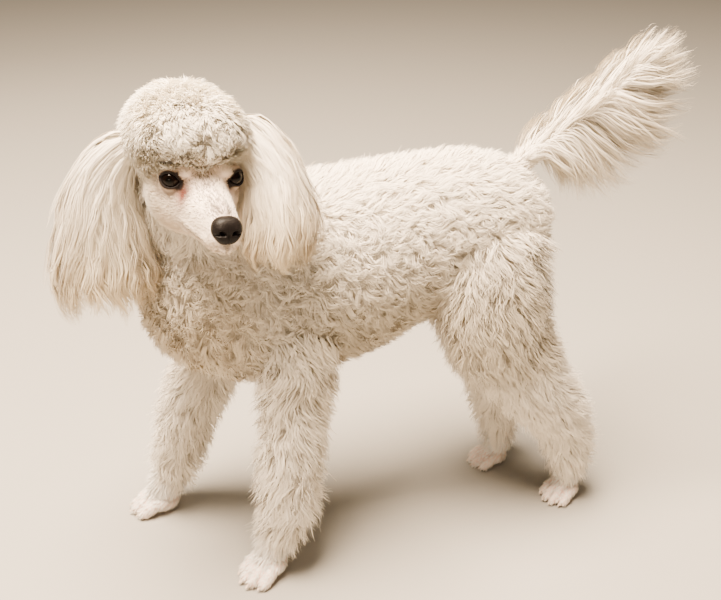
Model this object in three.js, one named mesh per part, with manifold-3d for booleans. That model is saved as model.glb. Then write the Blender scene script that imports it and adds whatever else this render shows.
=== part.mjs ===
// A standing white poodle in a show-ring clip, its head turned to its left, as a still life-size model.
// Millimetres, +Z up. The dog faces -Y and its left side is +X; the floor is z = 0.

import * as THREE from "three";
import { mergeVertices } from "three/addons/utils/BufferGeometryUtils.js";
import Module from "manifold-3d";

const wasm = await Module();
wasm.setup();

// Driving sizes

const WITHERS = 470; // floor to the top of the coat over the shoulders
const CHEST_WIDTH = 168; // across the ribs, coat included
const EYE_SPACING = 56; // between the middles of the eyes
const EYE_RADIUS = 10.5;
const LID_THICKNESS = 2.2;
const MUZZLE_REACH = 87; // from the line between the eyes to the tip of the nose
const PAW_HEIGHT = 40; // where the shaved foot goes up into the leg's coat
const GAP = 0.35; // kept between neighbouring pieces
const SEED = 20417;

const X_AXIS = new THREE.Vector3(1, 0, 0);
const Y_AXIS = new THREE.Vector3(0, 1, 0);
const Z_AXIS = new THREE.Vector3(0, 0, 1);

const vec = (x, y, z) => new THREE.Vector3(x, y, z);
const mix = (a, b, share) => a + (b - a) * share;

// Seeded random numbers from 0 to 1

function randomFrom(seed) {
  let state = seed >>> 0;
  return () => {
    state = (state + 0x6d2b79f5) >>> 0;
    let mixed = Math.imul(state ^ (state >>> 15), 1 | state);
    mixed = (mixed + Math.imul(mixed ^ (mixed >>> 7), 61 | mixed)) ^ mixed;
    return ((mixed ^ (mixed >>> 14)) >>> 0) / 4294967296;
  };
}

// The head's own frame: x forward along the muzzle, y to the dog's left, z up, from midway between the eyes

const HEAD_AT = vec(97, -73, 512);
const HEAD_YAW = THREE.MathUtils.degToRad(96); // turned to the dog's left
const HEAD_NOSE_UP = THREE.MathUtils.degToRad(4.5);
const HEAD_ROLL = THREE.MathUtils.degToRad(6.5);

function headFrame() {
  const level = Math.cos(HEAD_NOSE_UP);
  const forward = vec(Math.sin(HEAD_YAW) * level, -Math.cos(HEAD_YAW) * level, Math.sin(HEAD_NOSE_UP));
  const levelLeft = vec(Math.cos(HEAD_YAW), Math.sin(HEAD_YAW), 0);
  const left = levelLeft.clone().applyAxisAngle(forward, -HEAD_ROLL);
  const up = forward.clone().cross(left);
  return new THREE.Matrix4().makeBasis(forward, left, up).setPosition(HEAD_AT);
}

const HEAD = headFrame();

// Solids

function solidOf(geometry) {
  const bare = geometry.clone();
  for (const name of Object.keys(bare.attributes)) {
    if (name !== "position") bare.deleteAttribute(name);
  }
  const merged = mergeVertices(bare, 1e-3);
  const triVerts = new Uint32Array(merged.index.array);
  const vertProperties = new Float32Array(merged.attributes.position.array);
  const build = () => new wasm.Manifold(new wasm.Mesh({ numProp: 3, vertProperties, triVerts }));
  const made = build();
  if (made.volume() > 0) return made;
  for (let i = 0; i < triVerts.length; i += 3) {
    [triVerts[i + 1], triVerts[i + 2]] = [triVerts[i + 2], triVerts[i + 1]];
  }
  return build();
}

function joined(solids) {
  let level = solids;
  while (level.length > 1) {
    const next = [];
    for (let i = 0; i < level.length; i += 2) {
      next.push(i + 1 < level.length ? level[i].add(level[i + 1]) : level[i]);
    }
    level = next;
  }
  return level[0];
}

// The largest closed surface of a solid, which drops loose scraps and fills sealed hollows
function mainBody(solid) {
  return solid.decompose().reduce((best, body) => (body.volume() > best.volume() ? body : best));
}

// A half space as a large block whose face lies at the given point, the block on the normal's side
function beyond(point, normal, size = 1600) {
  const block = new THREE.BoxGeometry(size, size, size);
  const turn = new THREE.Quaternion().setFromUnitVectors(Z_AXIS, normal);
  const place = point.clone().addScaledVector(normal, size / 2);
  return solidOf(block.applyMatrix4(new THREE.Matrix4().compose(place, turn, vec(1, 1, 1))));
}

function egg(centre, radii, { frame = null, grow = 0, around = 8, rows = 6 } = {}) {
  const sphere = new THREE.SphereGeometry(1, around, rows);
  sphere.rotateX(Math.PI / 2);
  sphere.scale(radii.x + grow, radii.y + grow, radii.z + grow);
  sphere.translate(centre.x, centre.y, centre.z);
  if (frame) sphere.applyMatrix4(frame);
  return solidOf(sphere);
}

// A body form: a sphere's grid drawn out along a smooth path as ellipse rings, with domed ends.
// Each station gives a ring's middle, its half width along "side" and its half depth across it.
class Form {
  constructor(stations, { side = X_AXIS, domes = [20, 20], square = 2, frame = null } = {}) {
    const smooth = (points) => new THREE.CatmullRomCurve3(points, false, "catmullrom");
    this.path = smooth(stations.map((s) => s.at));
    this.radii = smooth(stations.map((s) => vec(s.wide, s.deep, 0)));
    this.side = side;
    this.square = square;
    this.frame = frame;
    this.length = this.path.getLength();
    this.domes = domes.map((d) => Math.min(0.45, d / this.length));
  }

  // Half width and half depth are drawn in over the domed ends
  ring(t, grow = 0) {
    const middle = this.path.getPoint(t);
    const along = this.path.getTangent(t);
    const across = this.side.clone().addScaledVector(along, -this.side.dot(along)).normalize();
    const other = along.clone().cross(across);
    const radii = this.radii.getPoint(t);
    const endShare = Math.min(t / this.domes[0], (1 - t) / this.domes[1], 1);
    const scale = Math.sqrt(Math.max(0, 1 - (1 - endShare) ** 2));
    const wide = (radii.x + grow) * scale;
    const deep = (radii.y + grow) * scale;
    return { middle, along, across, other, wide, deep };
  }

  point(t, angle, grow = 0) {
    const ring = this.ring(t, grow);
    const rounded = (c) => Math.sign(c) * Math.abs(c) ** (2 / this.square);
    return ring.middle
      .addScaledVector(ring.across, ring.wide * rounded(Math.cos(angle)))
      .addScaledVector(ring.other, ring.deep * rounded(Math.sin(angle)));
  }

  normal(t, angle) {
    const step = 0.02;
    const ahead = this.point(Math.min(1, t + step), angle);
    const behind = this.point(Math.max(0, t - step), angle);
    const around = this.point(t, angle + step).sub(this.point(t, angle - step));
    const out = around.cross(ahead.sub(behind)).normalize();
    const away = this.point(t, angle).sub(this.path.getPoint(t));
    return out.dot(away) < 0 ? out.negate() : out;
  }

  // Whether a place in the form's own frame lies inside it
  holds(place, grow = 0) {
    for (let k = 0; k <= 24; k += 1) {
      const ring = this.ring(k / 24, grow);
      const from = place.clone().sub(ring.middle);
      const inSlice = Math.abs(from.dot(ring.along)) < this.length / 40;
      const u = from.dot(ring.across) / (ring.wide + 1e-6);
      const v = from.dot(ring.other) / (ring.deep + 1e-6);
      if (inSlice && u * u + v * v < 1) return true;
    }
    return false;
  }

  solid({ around = 16, along = 8, grow = 0, dome = 2 } = {}) {
    const ts = [];
    for (let j = 0; j < dome; j += 1) ts.push(this.domes[0] * (1 - Math.cos((Math.PI / 2) * (j / dome))));
    for (let j = 0; j <= along; j += 1) ts.push(mix(this.domes[0], 1 - this.domes[1], j / along));
    for (let j = dome - 1; j >= 0; j -= 1) {
      ts.push(1 - this.domes[1] * (1 - Math.cos((Math.PI / 2) * (j / dome))));
    }
    const geometry = new THREE.SphereGeometry(1, around, ts.length - 1);
    const spots = geometry.attributes.position;
    for (let i = 0; i < spots.count; i += 1) {
      const row = Math.floor(i / (around + 1));
      const column = (i % (around + 1)) % around;
      const spot = this.point(ts[row], (2 * Math.PI * column) / around, grow);
      if (row === 0) spot.addScaledVector(this.path.getTangent(0), -grow);
      if (row === ts.length - 1) spot.addScaledVector(this.path.getTangent(1), grow);
      spots.setXYZ(i, spot.x, spot.y, spot.z);
    }
    if (this.frame) geometry.applyMatrix4(this.frame);
    return solidOf(geometry);
  }
}

const at = (x, y, z, wide, deep) => ({ at: vec(x, y, z), wide, deep });

// Trunk: side view given as the top line and the underline, with the half width between them

const trunkAt = (y, top, bottom, halfWidth) => at(0, y, (top + bottom) / 2, halfWidth, (top - bottom) / 2);

const TRUNK = [
  trunkAt(-130, 372, 300, 40), // breastbone
  trunkAt(-98, 420, 262, 62), // points of the shoulders
  trunkAt(-55, 454, 240, CHEST_WIDTH / 2 - 8),
  trunkAt(5, WITHERS, 230, CHEST_WIDTH / 2), // withers
  trunkAt(80, WITHERS + 4, 240, CHEST_WIDTH / 2),
  trunkAt(140, WITHERS + 8, 264, CHEST_WIDTH / 2 - 4), // last ribs
  trunkAt(200, WITHERS + 9, 290, CHEST_WIDTH / 2 - 10), // loin
  trunkAt(250, WITHERS + 5, 300, CHEST_WIDTH / 2 - 12), // croup
  trunkAt(300, WITHERS - 18, 312, CHEST_WIDTH / 2 - 24),
  trunkAt(338, WITHERS - 54, 338, 40), // buttocks
];

const NECK = [
  at(0, 0, 372, 74, 88),
  at(2, -34, 418, 62, 76),
  at(9, -66, 460, 56, 70),
  at(20, -80, 500, 48, 57),
  at(26, -80, 530, 34, 38),
];

const TAIL_SHAFT = [
  at(0, 262, 412, 22, 22),
  at(0, 300, 446, 15, 15),
  at(0, 350, 482, 14, 14),
  at(0, 400, 516, 9, 11),
  at(0, 448, 552, 6, 7),
];

const FORE_LEG = {
  left: [
    at(40, 34, 376, 30, 50),
    at(54, 28, 325, 36, 56),
    at(68, 18, 260, 42, 50),
    at(72, 10, 200, 44, 45),
    at(73, 5, 150, 43, 44),
    at(73, 2, 100, 41, 43),
    at(72, -9, 62, 33, 35),
    at(72, -16, 38, 26, 27),
  ],
  right: [
    at(-40, 12, 376, 30, 50),
    at(-55, -6, 325, 36, 56),
    at(-68, -40, 250, 42, 50),
    at(-76, -72, 180, 43, 46),
    at(-80, -88, 135, 41, 43),
    at(-84, -99, 95, 37, 39),
    at(-87, -108, 62, 33, 35),
    at(-88, -115, 38, 25, 26),
  ],
};

const THIGH = {
  left: [
    at(38, 264, 400, 38, 70),
    at(52, 258, 330, 46, 72),
    at(60, 264, 270, 46, 68),
    at(62, 296, 210, 44, 54),
  ],
  right: [
    at(-38, 262, 400, 38, 68),
    at(-52, 258, 330, 46, 68),
    at(-58, 270, 270, 45, 58),
    at(-56, 288, 210, 43, 46),
  ],
};

const SHANK = {
  left: [
    at(62, 278, 250, 44, 62),
    at(62, 308, 200, 43, 52),
    at(61, 346, 152, 40, 44),
    at(59, 368, 110, 36, 38),
    at(58, 380, 72, 31, 32),
    at(57, 385, 38, 24, 25),
  ],
  right: [
    at(-57, 278, 245, 43, 50),
    at(-53, 298, 190, 41, 46),
    at(-49, 315, 145, 38, 41),
    at(-45, 324, 105, 34, 37),
    at(-42, 328, 72, 30, 32),
    at(-41, 328, 38, 24, 25),
  ],
};

const SKULL = [
  at(-96, 0, -4, 30, 30), // back of the skull
  at(-76, 0, -8, 38, 38),
  at(-50, 0, -13, 43, 46),
  at(-24, 0, -17, 44, 46), // cheeks
  at(0, 0, -22, 36, 38), // eyes
  at(18, 0, -26, 27, 30), // stop
  at(42, 0, -29, 22, 24.5),
  at(64, 0, -31, 18.5, 20),
  at(82, 0, -34, 15.5, 17), // lips
];

const TOPKNOT = [
  at(-108, -4, 14, 50, 42),
  at(-76, -5, 24, 58, 54),
  at(-42, -5, 30, 61, 57),
  at(-8, -4, 36, 57, 46),
  at(22, -3, 37, 46, 32),
];

// Ears: a bell of hair hanging from the side of the skull; the left one lies on the shoulder

const EAR = {
  left: [
    at(44, -36, 550, 20, 24),
    at(58, -20, 530, 22, 29),
    at(74, -4, 500, 25, 33),
    at(90, 0, 464, 25, 39),
    at(97, -1, 434, 23, 38),
    at(98, -3, 406, 18, 30),
  ],
  right: [
    at(44, -116, 542, 18, 20),
    at(38, -145, 518, 21, 26),
    at(36, -161, 480, 26, 37),
    at(36, -166, 430, 33, 49),
    at(36, -166, 392, 33, 53),
    at(36, -162, 350, 25, 40),
  ],
};

// Feet: middle of the sole, and the way the toes point, as an angle from -Y towards +X

const PAWS = {
  fore_left: { at: vec(72, -26, 0), turn: 0.45, size: 1 },
  fore_right: { at: vec(-90, -130, 0), turn: -0.1, size: 1 },
  hind_left: { at: vec(57, 380, 0), turn: 0.35, size: 0.88 },
  hind_right: { at: vec(-40, 322, 0), turn: 0, size: 0.88 },
};
const TOES = [-1.5, -0.5, 0.5, 1.5];
const TOE_PITCH = 12.2;

const toeAt = (k) => vec(TOE_PITCH * k, Math.abs(k) < 1 ? -22 : -14, 9);
const pawFrame = ({ at: place, turn, size }) =>
  new THREE.Matrix4().makeRotationZ(turn).scale(vec(size, size, size)).setPosition(place);

function pawSolid(paw) {
  const frame = pawFrame(paw);
  const toes = TOES.map((k) => egg(toeAt(k), vec(7.6, 15.5, 11), { frame, around: 6, rows: 4 }));
  const pad = egg(vec(0, 4, 14), vec(21, 23, 18), { frame, around: 6, rows: 4 });
  const pastern = egg(vec(0, 10, 36), vec(17, 18, 28), { frame, around: 6, rows: 3 });
  return joined([...toes, pad, pastern]);
}

// Each claw is a short cone bent down from the tip of its toe
function clawSolid(paw, k, grow = 0) {
  const claw = new THREE.CylinderGeometry(0.9 + grow, 2.6 + grow, 11 + 2 * grow, 6, 1);
  claw.rotateX(-Math.PI / 2 + 0.55);
  claw.translate(TOE_PITCH * k, toeAt(k).y - 16.5, 7.2);
  return solidOf(claw.applyMatrix4(pawFrame(paw)));
}

// Curly coat: rounded clumps set close over a form, their roots sunk in a core.
// "core" is how far the core lies inside the coat's tips, "radius" and "height" are a clump's
// half sizes along and out of the surface, and "sunk" is how deep its middle lies.

const TRUNK_COAT = { core: 13, spacing: 90, radius: 58, height: 18, sunk: 17 };
const NECK_COAT = { core: 13, spacing: 70, radius: 44, height: 18, sunk: 17 };
const TOPKNOT_COAT = { core: 15, spacing: 47, radius: 30, height: 23, sunk: 21 };
const LEG_COAT = { core: 19, spacing: 66, radius: 34, height: 25, sunk: 23 };
const SHANK_COAT = { core: 15, spacing: 62, radius: 31, height: 23, sunk: 21 };
const THIGH_COAT = { core: 15, spacing: 72, radius: 40, height: 21, sunk: 20 };

const COATS = {
  trunk: { ...TRUNK_COAT, meshing: { around: 14, along: 7, dome: 1 } },
  neck: { ...NECK_COAT, meshing: { around: 9, along: 3, dome: 1 } },
  topknot: { ...TOPKNOT_COAT, meshing: { around: 9, along: 3, dome: 1 } },
  fore_left: { ...LEG_COAT, meshing: { around: 7, along: 3, dome: 1 } },
  fore_right: { ...LEG_COAT, meshing: { around: 7, along: 3, dome: 1 } },
  thigh_left: { ...THIGH_COAT, meshing: { around: 8, along: 2, dome: 1 } },
  thigh_right: { ...THIGH_COAT, meshing: { around: 8, along: 2, dome: 1 } },
  shank_left: { ...SHANK_COAT, meshing: { around: 7, along: 4, dome: 1 } },
  shank_right: { ...SHANK_COAT, meshing: { around: 7, along: 4, dome: 1 } },
};

const SKULL_MESHING = { around: 12, along: 8 };

const legForm = (stations, domes = [16, 12]) => new Form(stations, { domes });
const FORMS = {
  trunk: new Form(TRUNK, { domes: [26, 26] }),
  neck: new Form(NECK, { domes: [40, 24] }),
  skull: new Form(SKULL, { side: Y_AXIS, domes: [20, 8], square: 2.3, frame: HEAD }),
  topknot: new Form(TOPKNOT, { side: Y_AXIS, domes: [30, 26], frame: HEAD }),
  tail: new Form(TAIL_SHAFT, { domes: [14, 8] }),
  fore_left: legForm(FORE_LEG.left),
  fore_right: legForm(FORE_LEG.right),
  thigh_left: legForm(THIGH.left, [24, 20]),
  thigh_right: legForm(THIGH.right, [24, 20]),
  shank_left: legForm(SHANK.left),
  shank_right: legForm(SHANK.right),
};

function clump(place, out, radius, height, random, grow) {
  const ball = new THREE.IcosahedronGeometry(1, 0);
  ball.rotateY(2 * Math.PI * random());
  ball.rotateZ(2 * Math.PI * random());
  const spread = () => radius * mix(0.92, 1.12, random()) + grow;
  ball.scale(spread(), spread(), height + grow);
  const turn = new THREE.Quaternion().setFromUnitVectors(Z_AXIS, out);
  return ball.applyMatrix4(new THREE.Matrix4().compose(place, turn, vec(1, 1, 1)));
}

// Whether a place on one form is buried in another, both places taken to the world first
function buried(name, place) {
  return Object.entries(FORMS).some(([other, form]) => {
    if (other === name || other === "tail") return false;
    const local = form.frame ? place.clone().applyMatrix4(form.frame.clone().invert()) : place;
    return form.holds(local, -4);
  });
}

function clumpsOn(name, grow = 0) {
  const form = FORMS[name];
  const { spacing, radius, height, sunk } = COATS[name];
  const random = randomFrom(SEED + name.length * 101 + name.charCodeAt(0));
  const rows = Math.max(2, Math.round(form.length / (spacing * 0.87)));
  const solids = [];
  for (let row = 0; row <= rows; row += 1) {
    const t = mix(0.02, 0.98, row / rows);
    const ring = form.ring(t);
    const girth = Math.PI * (ring.wide + ring.deep);
    const count = Math.max(1, Math.round(girth / spacing));
    for (let k = 0; k < count; k += 1) {
      const angle = ((k + 0.5 * (row % 2) + 0.3 * (random() - 0.5)) / count) * 2 * Math.PI;
      const at = Math.min(0.99, Math.max(0.01, t + (0.3 * (random() - 0.5)) / rows));
      const out = form.normal(at, angle);
      const place = form.point(at, angle).addScaledVector(out, -sunk);
      const surface = place.clone();
      if (form.frame) surface.applyMatrix4(form.frame);
      if (buried(name, surface)) continue;
      const ball = clump(place, out, radius, height * mix(0.94, 1.08, random()), random, grow);
      if (form.frame) ball.applyMatrix4(form.frame);
      solids.push(solidOf(ball));
    }
  }
  return solids;
}

const coreOf = (name, grow) => FORMS[name].solid({ ...COATS[name].meshing, grow: grow - COATS[name].core });
const coated = (name, grow = 0) => [coreOf(name, grow), ...clumpsOn(name, grow)];

// Long hair: a flat tapered lock along a bent path, its root inside the part it grows from

function lock(places, side, width, thickness) {
  const widths = [0.45, 1, 0.95, 0.7, 0.25];
  const stations = places.map((place, i) => {
    const share = (i / (places.length - 1)) * (widths.length - 1);
    const low = Math.min(widths.length - 2, Math.floor(share));
    const wide = mix(widths[low], widths[low + 1], share - low);
    return { at: place, wide: (width / 2) * wide, deep: (thickness / 2) * mix(0.5, wide, 0.7) };
  });
  return new Form(stations, { side, domes: [4, 10] }).solid({ around: 4, along: 2, dome: 1 });
}

// Rows of locks shingled down an ear, each row's roots tucked under the one above it
const EAR_ROWS = [
  { from: 0.06, to: 0.72, count: 5, lift: -2 },
  { from: 0.42, to: 1.0, count: 5, lift: -4 },
];
const EAR_CORE = 0.55; // share of the ear's hair taken up by its leather and inner coat

function earSolids(side) {
  const stations = EAR[side];
  const form = new Form(stations, { domes: [10, 16] });
  const inner = stations
    .slice(0, 5)
    .map((s) => ({ at: s.at, wide: s.wide * EAR_CORE, deep: s.deep * EAR_CORE }));
  const core = new Form(inner, { domes: [8, 10] }).solid({ around: 8, along: 3, dome: 1 });
  const random = randomFrom(SEED + (side === "left" ? 7 : 8));
  const locks = EAR_ROWS.flatMap(({ from, to, count, lift }, row) =>
    Array.from({ length: count }, (_, k) => {
      const angle = ((k + 0.5 * (row % 2) + 0.25 * (random() - 0.5)) / count) * 2 * Math.PI;
      const end = to - 0.1 * random();
      const places = [0, 0.3, 0.65, 1].map((share) => {
        const t = mix(from, end, share);
        const spot = form.point(t, angle + 0.12 * Math.sin(3 * share + 6 * random()));
        const sink = share === 0 ? -16 : lift;
        return spot.addScaledVector(form.normal(t, angle), sink);
      });
      const middle = mix(from, end, 0.5);
      const ring = form.ring(middle);
      const girth = Math.PI * (ring.wide + ring.deep);
      const across = form.normal(middle, angle).cross(ring.along).normalize();
      return lock(places, across, (1.55 * girth) / count, 11);
    }),
  );
  return joined([core, ...locks]);
}

// Plume: a fan of broad locks that leave the tail's shaft up and back, then fall.
// The fan's edge runs from below the shaft's clipped part, round behind it, to the plume's tip.
const PLUME_EDGE = new THREE.CatmullRomCurve3([
  vec(0, 378, 414),
  vec(0, 398, 390),
  vec(0, 450, 393),
  vec(0, 500, 436),
  vec(0, 527, 500),
  vec(0, 510, 588),
]);
const PLUME = { from: 0.44, to: 0.98, count: 17, width: 36, thickness: 9, spread: 20, lift: 20 };
const CREST = { from: 0.5, to: 0.9, count: 4, width: 24, thickness: 12, back: 62, up: 56 };

function plumeLock(shaft, share, side, random) {
  const root = shaft.path.getPoint(mix(PLUME.from, PLUME.to, share));
  const tip = PLUME_EDGE.getPointAt(share);
  const reach = mix(0.9, 1.02, random()) - 0.06 * Math.abs(side);
  const along = (part) =>
    root
      .clone()
      .lerp(tip, part * reach)
      .add(vec(side * PLUME.spread * Math.sin(part * 2), 0, PLUME.lift * Math.sin(Math.PI * part)));
  const toTip = tip.clone().sub(root).normalize();
  const flat = toTip.cross(X_AXIS).addScaledVector(X_AXIS, 0.35 * side);
  return lock([root, along(0.3), along(0.65), along(1)], flat, PLUME.width, PLUME.thickness);
}

function tailSolids() {
  const shaft = FORMS.tail;
  const random = randomFrom(SEED + 9);
  const plume = Array.from({ length: PLUME.count }, (_, k) =>
    plumeLock(shaft, k / (PLUME.count - 1), (k % 3) - 1, random),
  );
  const crest = Array.from({ length: CREST.count }, (_, k) => {
    const root = shaft.path.getPoint(mix(CREST.from, CREST.to, k / (CREST.count - 1)));
    const lean = k % 2 ? 5 : -5;
    const along = (part) => root.clone().add(vec(lean, CREST.back * part, CREST.up * Math.sin(1.5 * part)));
    const places = [root, along(0.3), along(0.65), along(1)];
    return lock(places, vec(0.3, -0.6, 0.8), CREST.width, CREST.thickness);
  });
  return joined([shaft.solid({ around: 8, along: 4, dome: 1 }), ...plume, ...crest]);
}

// Face: lids, lips, mouth line, nose and nostrils

const eyeAt = (side) => vec(2, (side * EYE_SPACING) / 2, 0);
const ballRadii = vec(EYE_RADIUS, EYE_RADIUS, EYE_RADIUS);
const eyeBall = (side, grow) => egg(eyeAt(side), ballRadii, { frame: HEAD, grow, around: 10, rows: 7 });
const nose = (grow) =>
  egg(vec(MUZZLE_REACH - 8, 0, -28), vec(9, 14.5, 11), { frame: HEAD, grow, around: 10, rows: 6 });

// The parting of the lids, an almond in front of the eye, longer than high
function lidOpening(side) {
  const opening = new THREE.SphereGeometry(1, 10, 6);
  opening.scale(9, 11, 6.6);
  opening.rotateZ(side * 0.35);
  const middle = eyeAt(side).add(vec(10, side * 3.5, 0.5));
  return solidOf(opening.translate(middle.x, middle.y, middle.z).applyMatrix4(HEAD));
}

// A thin bead from one corner of the mouth round the front of the muzzle to the other
function mouthBead(rise, radius, around) {
  const halfWay = [
    { t: 0.64, angle: -0.55 },
    { t: 0.76, angle: -0.62 },
    { t: 0.88, angle: -0.68 },
    { t: 0.965, angle: -0.72 },
  ];
  const left = halfWay.map(({ t, angle }) => FORMS.skull.point(t, angle).add(vec(0, 0, rise)));
  const front = vec(84, 0, left[3].z + 1);
  const right = left.map((p) => vec(p.x, -p.y, p.z)).reverse();
  const stations = [...left, front, ...right].map((p) => ({ at: p, wide: radius, deep: radius }));
  const bead = new Form(stations, { side: Z_AXIS, domes: [3, 3], frame: HEAD });
  return bead.solid({ around, along: 8, dome: 1 });
}

function headSolids(grow = 0) {
  const lids = [1, -1].map((side) =>
    egg(eyeAt(side), ballRadii, { frame: HEAD, grow: LID_THICKNESS + grow, around: 10, rows: 6 }),
  );
  return [FORMS.skull.solid({ ...SKULL_MESHING, grow }), ...lids, mouthBead(2.2, 2.4 + grow, 4)];
}

function faceCut(head) {
  const cutters = [
    eyeBall(1, GAP),
    eyeBall(-1, GAP),
    lidOpening(1),
    lidOpening(-1),
    nose(GAP),
    mouthBead(0, 0.9, 3),
  ];
  return cutters.reduce((solid, cutter) => solid.subtract(cutter), head);
}

function noseWithNostrils() {
  const nostril = (side) =>
    egg(vec(MUZZLE_REACH, side * 6, -27), vec(3.4, 2.8, 2.1), { frame: HEAD, around: 8, rows: 4 });
  return nose(0).subtract(nostril(1)).subtract(nostril(-1));
}

// Zones: each is the space on the far side of every plane in its list

const plane = (point, normal) => ({ point, normal: normal.clone().normalize() });
function zone(planes, grow) {
  const blocks = planes.map((p) => beyond(p.point.clone().addScaledVector(p.normal, -grow), p.normal));
  return blocks.reduce((a, b) => a.intersect(b));
}

const NECK_BASE = plane(vec(0, -48, 442), vec(0.1, -0.42, 0.9));
const HEAD_BASE = plane(vec(10, -78, 482), vec(0.25, 0, 0.97));
const TAIL_BASE = plane(vec(0, 304, 452), vec(0, 0.8, 0.6));
const FLOOR = plane(vec(0, 0, 0), Z_AXIS);
const PAW_TOP = plane(vec(0, 0, PAW_HEIGHT), vec(0, 0, -1));
const foreZone = (s) => [
  plane(vec(s * 18, 0, 240), vec(s * 0.76, 0, -0.65)),
  plane(vec(0, 0, 0), vec(s, 0, 0)),
  plane(vec(0, s > 0 ? 72 : 26, 300), vec(0, -1, s > 0 ? 0.1 : -0.12)),
];
const thighZone = (s) => [
  plane(vec(0, 0, 296), vec(s * 0.72, 0, -0.69)),
  plane(vec(0, 0, 0), vec(s, 0, 0)),
  plane(vec(0, 186, 300), vec(0, 0.93, -0.36)),
];
const shankZone = (s) => [...thighZone(s), plane(vec(0, s > 0 ? 300 : 290, 216), vec(0, 0.5, -0.86))];

// The whole animal as one solid, then parted into named pieces by thin plane cuts

const pieces = {};
const looks = {};
const LOOKS = {
  coat: { color: 0xf3e9d6, roughness: 0.95 },
  pawSkin: { color: 0xe6d2c2, roughness: 0.8 },
  claw: { color: 0xb49c82, roughness: 0.45 },
  eye: { color: 0x120c08, roughness: 0.08 },
  nose: { color: 0x17130f, roughness: 0.4 },
};

function keep(name, solid, look) {
  pieces[name] = mainBody(solid);
  looks[name] = LOOKS[look];
}

const animal = joined([
  ...Object.keys(COATS).flatMap((name) => coated(name)),
  ...Object.values(PAWS).map((paw) => pawSolid(paw)),
  ...headSolids(),
  tailSolids(),
]);
let rest = mainBody(animal).intersect(zone([FLOOR], 0));

function part(name, planes, look = "coat") {
  keep(name, rest.intersect(zone(planes, -GAP / 2)), look);
  rest = rest.subtract(zone(planes, GAP / 2));
}

const SIDES = { left: 1, right: -1 };
for (const [side, s] of Object.entries(SIDES)) {
  part(`fore_paw_${side}`, [...foreZone(s), PAW_TOP], "pawSkin");
  part(`fore_leg_${side}`, foreZone(s));
  part(`hind_paw_${side}`, [...shankZone(s), PAW_TOP], "pawSkin");
  part(`hind_leg_${side}`, shankZone(s));
  part(`thigh_${side}`, thighZone(s));
}
part("tail", [TAIL_BASE]);
part("head", [NECK_BASE, HEAD_BASE]);
part("neck", [NECK_BASE]);
keep("torso", rest, "coat");
keep("head", faceCut(pieces.head), "coat");
keep("nose", noseWithNostrils(), "nose");

const besideEars = joined([
  ...["topknot", "neck", "trunk", "fore_left"].flatMap((name) => coated(name, GAP)),
  ...headSolids(GAP),
]);
for (const [side, s] of Object.entries(SIDES)) {
  keep(`eye_${side}`, eyeBall(s, 0), "eye");
  keep(`ear_${side}`, earSolids(side).subtract(besideEars), "coat");
}

for (const [name, paw] of Object.entries(PAWS)) {
  const [end, side] = name.split("_");
  const pawName = `${end}_paw_${side}`;
  TOES.forEach((k, i) => {
    keep(pawName, pieces[pawName].subtract(clawSolid(paw, k, GAP)), "pawSkin");
    keep(`${end}_claw_${side}_${i + 1}`, clawSolid(paw, k), "claw");
  });
}

// The middle of the underside of the whole model's box is the origin

const boxes = Object.values(pieces).map((solid) => solid.boundingBox());
const middle = (axis) =>
  (Math.min(...boxes.map((box) => box.min[axis])) + Math.max(...boxes.map((box) => box.max[axis]))) / 2;

const group = new THREE.Group();
group.position.set(-middle(0), -middle(1), 0);
for (const [name, solid] of Object.entries(pieces)) {
  const mesh = solid.getMesh();
  const geometry = new THREE.BufferGeometry();
  geometry.setAttribute("position", new THREE.BufferAttribute(new Float32Array(mesh.vertProperties), 3));
  geometry.setIndex(new THREE.BufferAttribute(new Uint32Array(mesh.triVerts), 1));
  geometry.computeVertexNormals();
  const piece = new THREE.Mesh(geometry, new THREE.MeshStandardMaterial({ metalness: 0, ...looks[name] }));
  piece.name = name;
  group.add(piece);
}

export default group;
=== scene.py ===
"""Looks of a standing white poodle in a show clip, its head turned to its left.

Sizes are in millimetres in the dog's own modelled frame: it faces -Y, its left side is +X and the
floor is z = 0. A piece is moved to the row frame and to metres when its mesh is made.
"""

import bpy
import numpy as np
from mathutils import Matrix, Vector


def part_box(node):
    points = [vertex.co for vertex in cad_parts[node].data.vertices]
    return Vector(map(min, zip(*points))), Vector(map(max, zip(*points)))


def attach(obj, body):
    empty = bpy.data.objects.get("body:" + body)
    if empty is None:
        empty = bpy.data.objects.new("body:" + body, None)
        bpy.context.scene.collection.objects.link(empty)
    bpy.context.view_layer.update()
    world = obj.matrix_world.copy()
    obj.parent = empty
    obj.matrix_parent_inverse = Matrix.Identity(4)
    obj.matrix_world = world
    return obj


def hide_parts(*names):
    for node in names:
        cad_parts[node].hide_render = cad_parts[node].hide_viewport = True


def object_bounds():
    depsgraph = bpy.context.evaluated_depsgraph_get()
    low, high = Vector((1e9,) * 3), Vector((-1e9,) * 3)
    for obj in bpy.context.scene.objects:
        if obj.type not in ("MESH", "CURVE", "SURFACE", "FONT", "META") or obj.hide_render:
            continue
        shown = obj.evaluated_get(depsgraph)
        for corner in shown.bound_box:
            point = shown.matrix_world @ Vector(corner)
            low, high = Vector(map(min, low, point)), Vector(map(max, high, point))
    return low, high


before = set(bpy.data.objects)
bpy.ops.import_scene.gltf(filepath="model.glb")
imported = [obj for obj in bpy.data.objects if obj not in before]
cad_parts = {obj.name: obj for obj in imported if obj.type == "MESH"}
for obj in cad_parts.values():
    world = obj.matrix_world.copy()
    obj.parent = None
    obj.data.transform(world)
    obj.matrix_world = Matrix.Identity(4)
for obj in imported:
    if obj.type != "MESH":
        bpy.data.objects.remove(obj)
CAD_BOX = [list(corner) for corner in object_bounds()]

# Driving sizes

MM = 0.001
WITHERS = 470
CHEST_HALF = 84
EYE_SPACING = 56
EYE_RADIUS = 10.5
MUZZLE_REACH = 87
SEED = 20417

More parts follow.
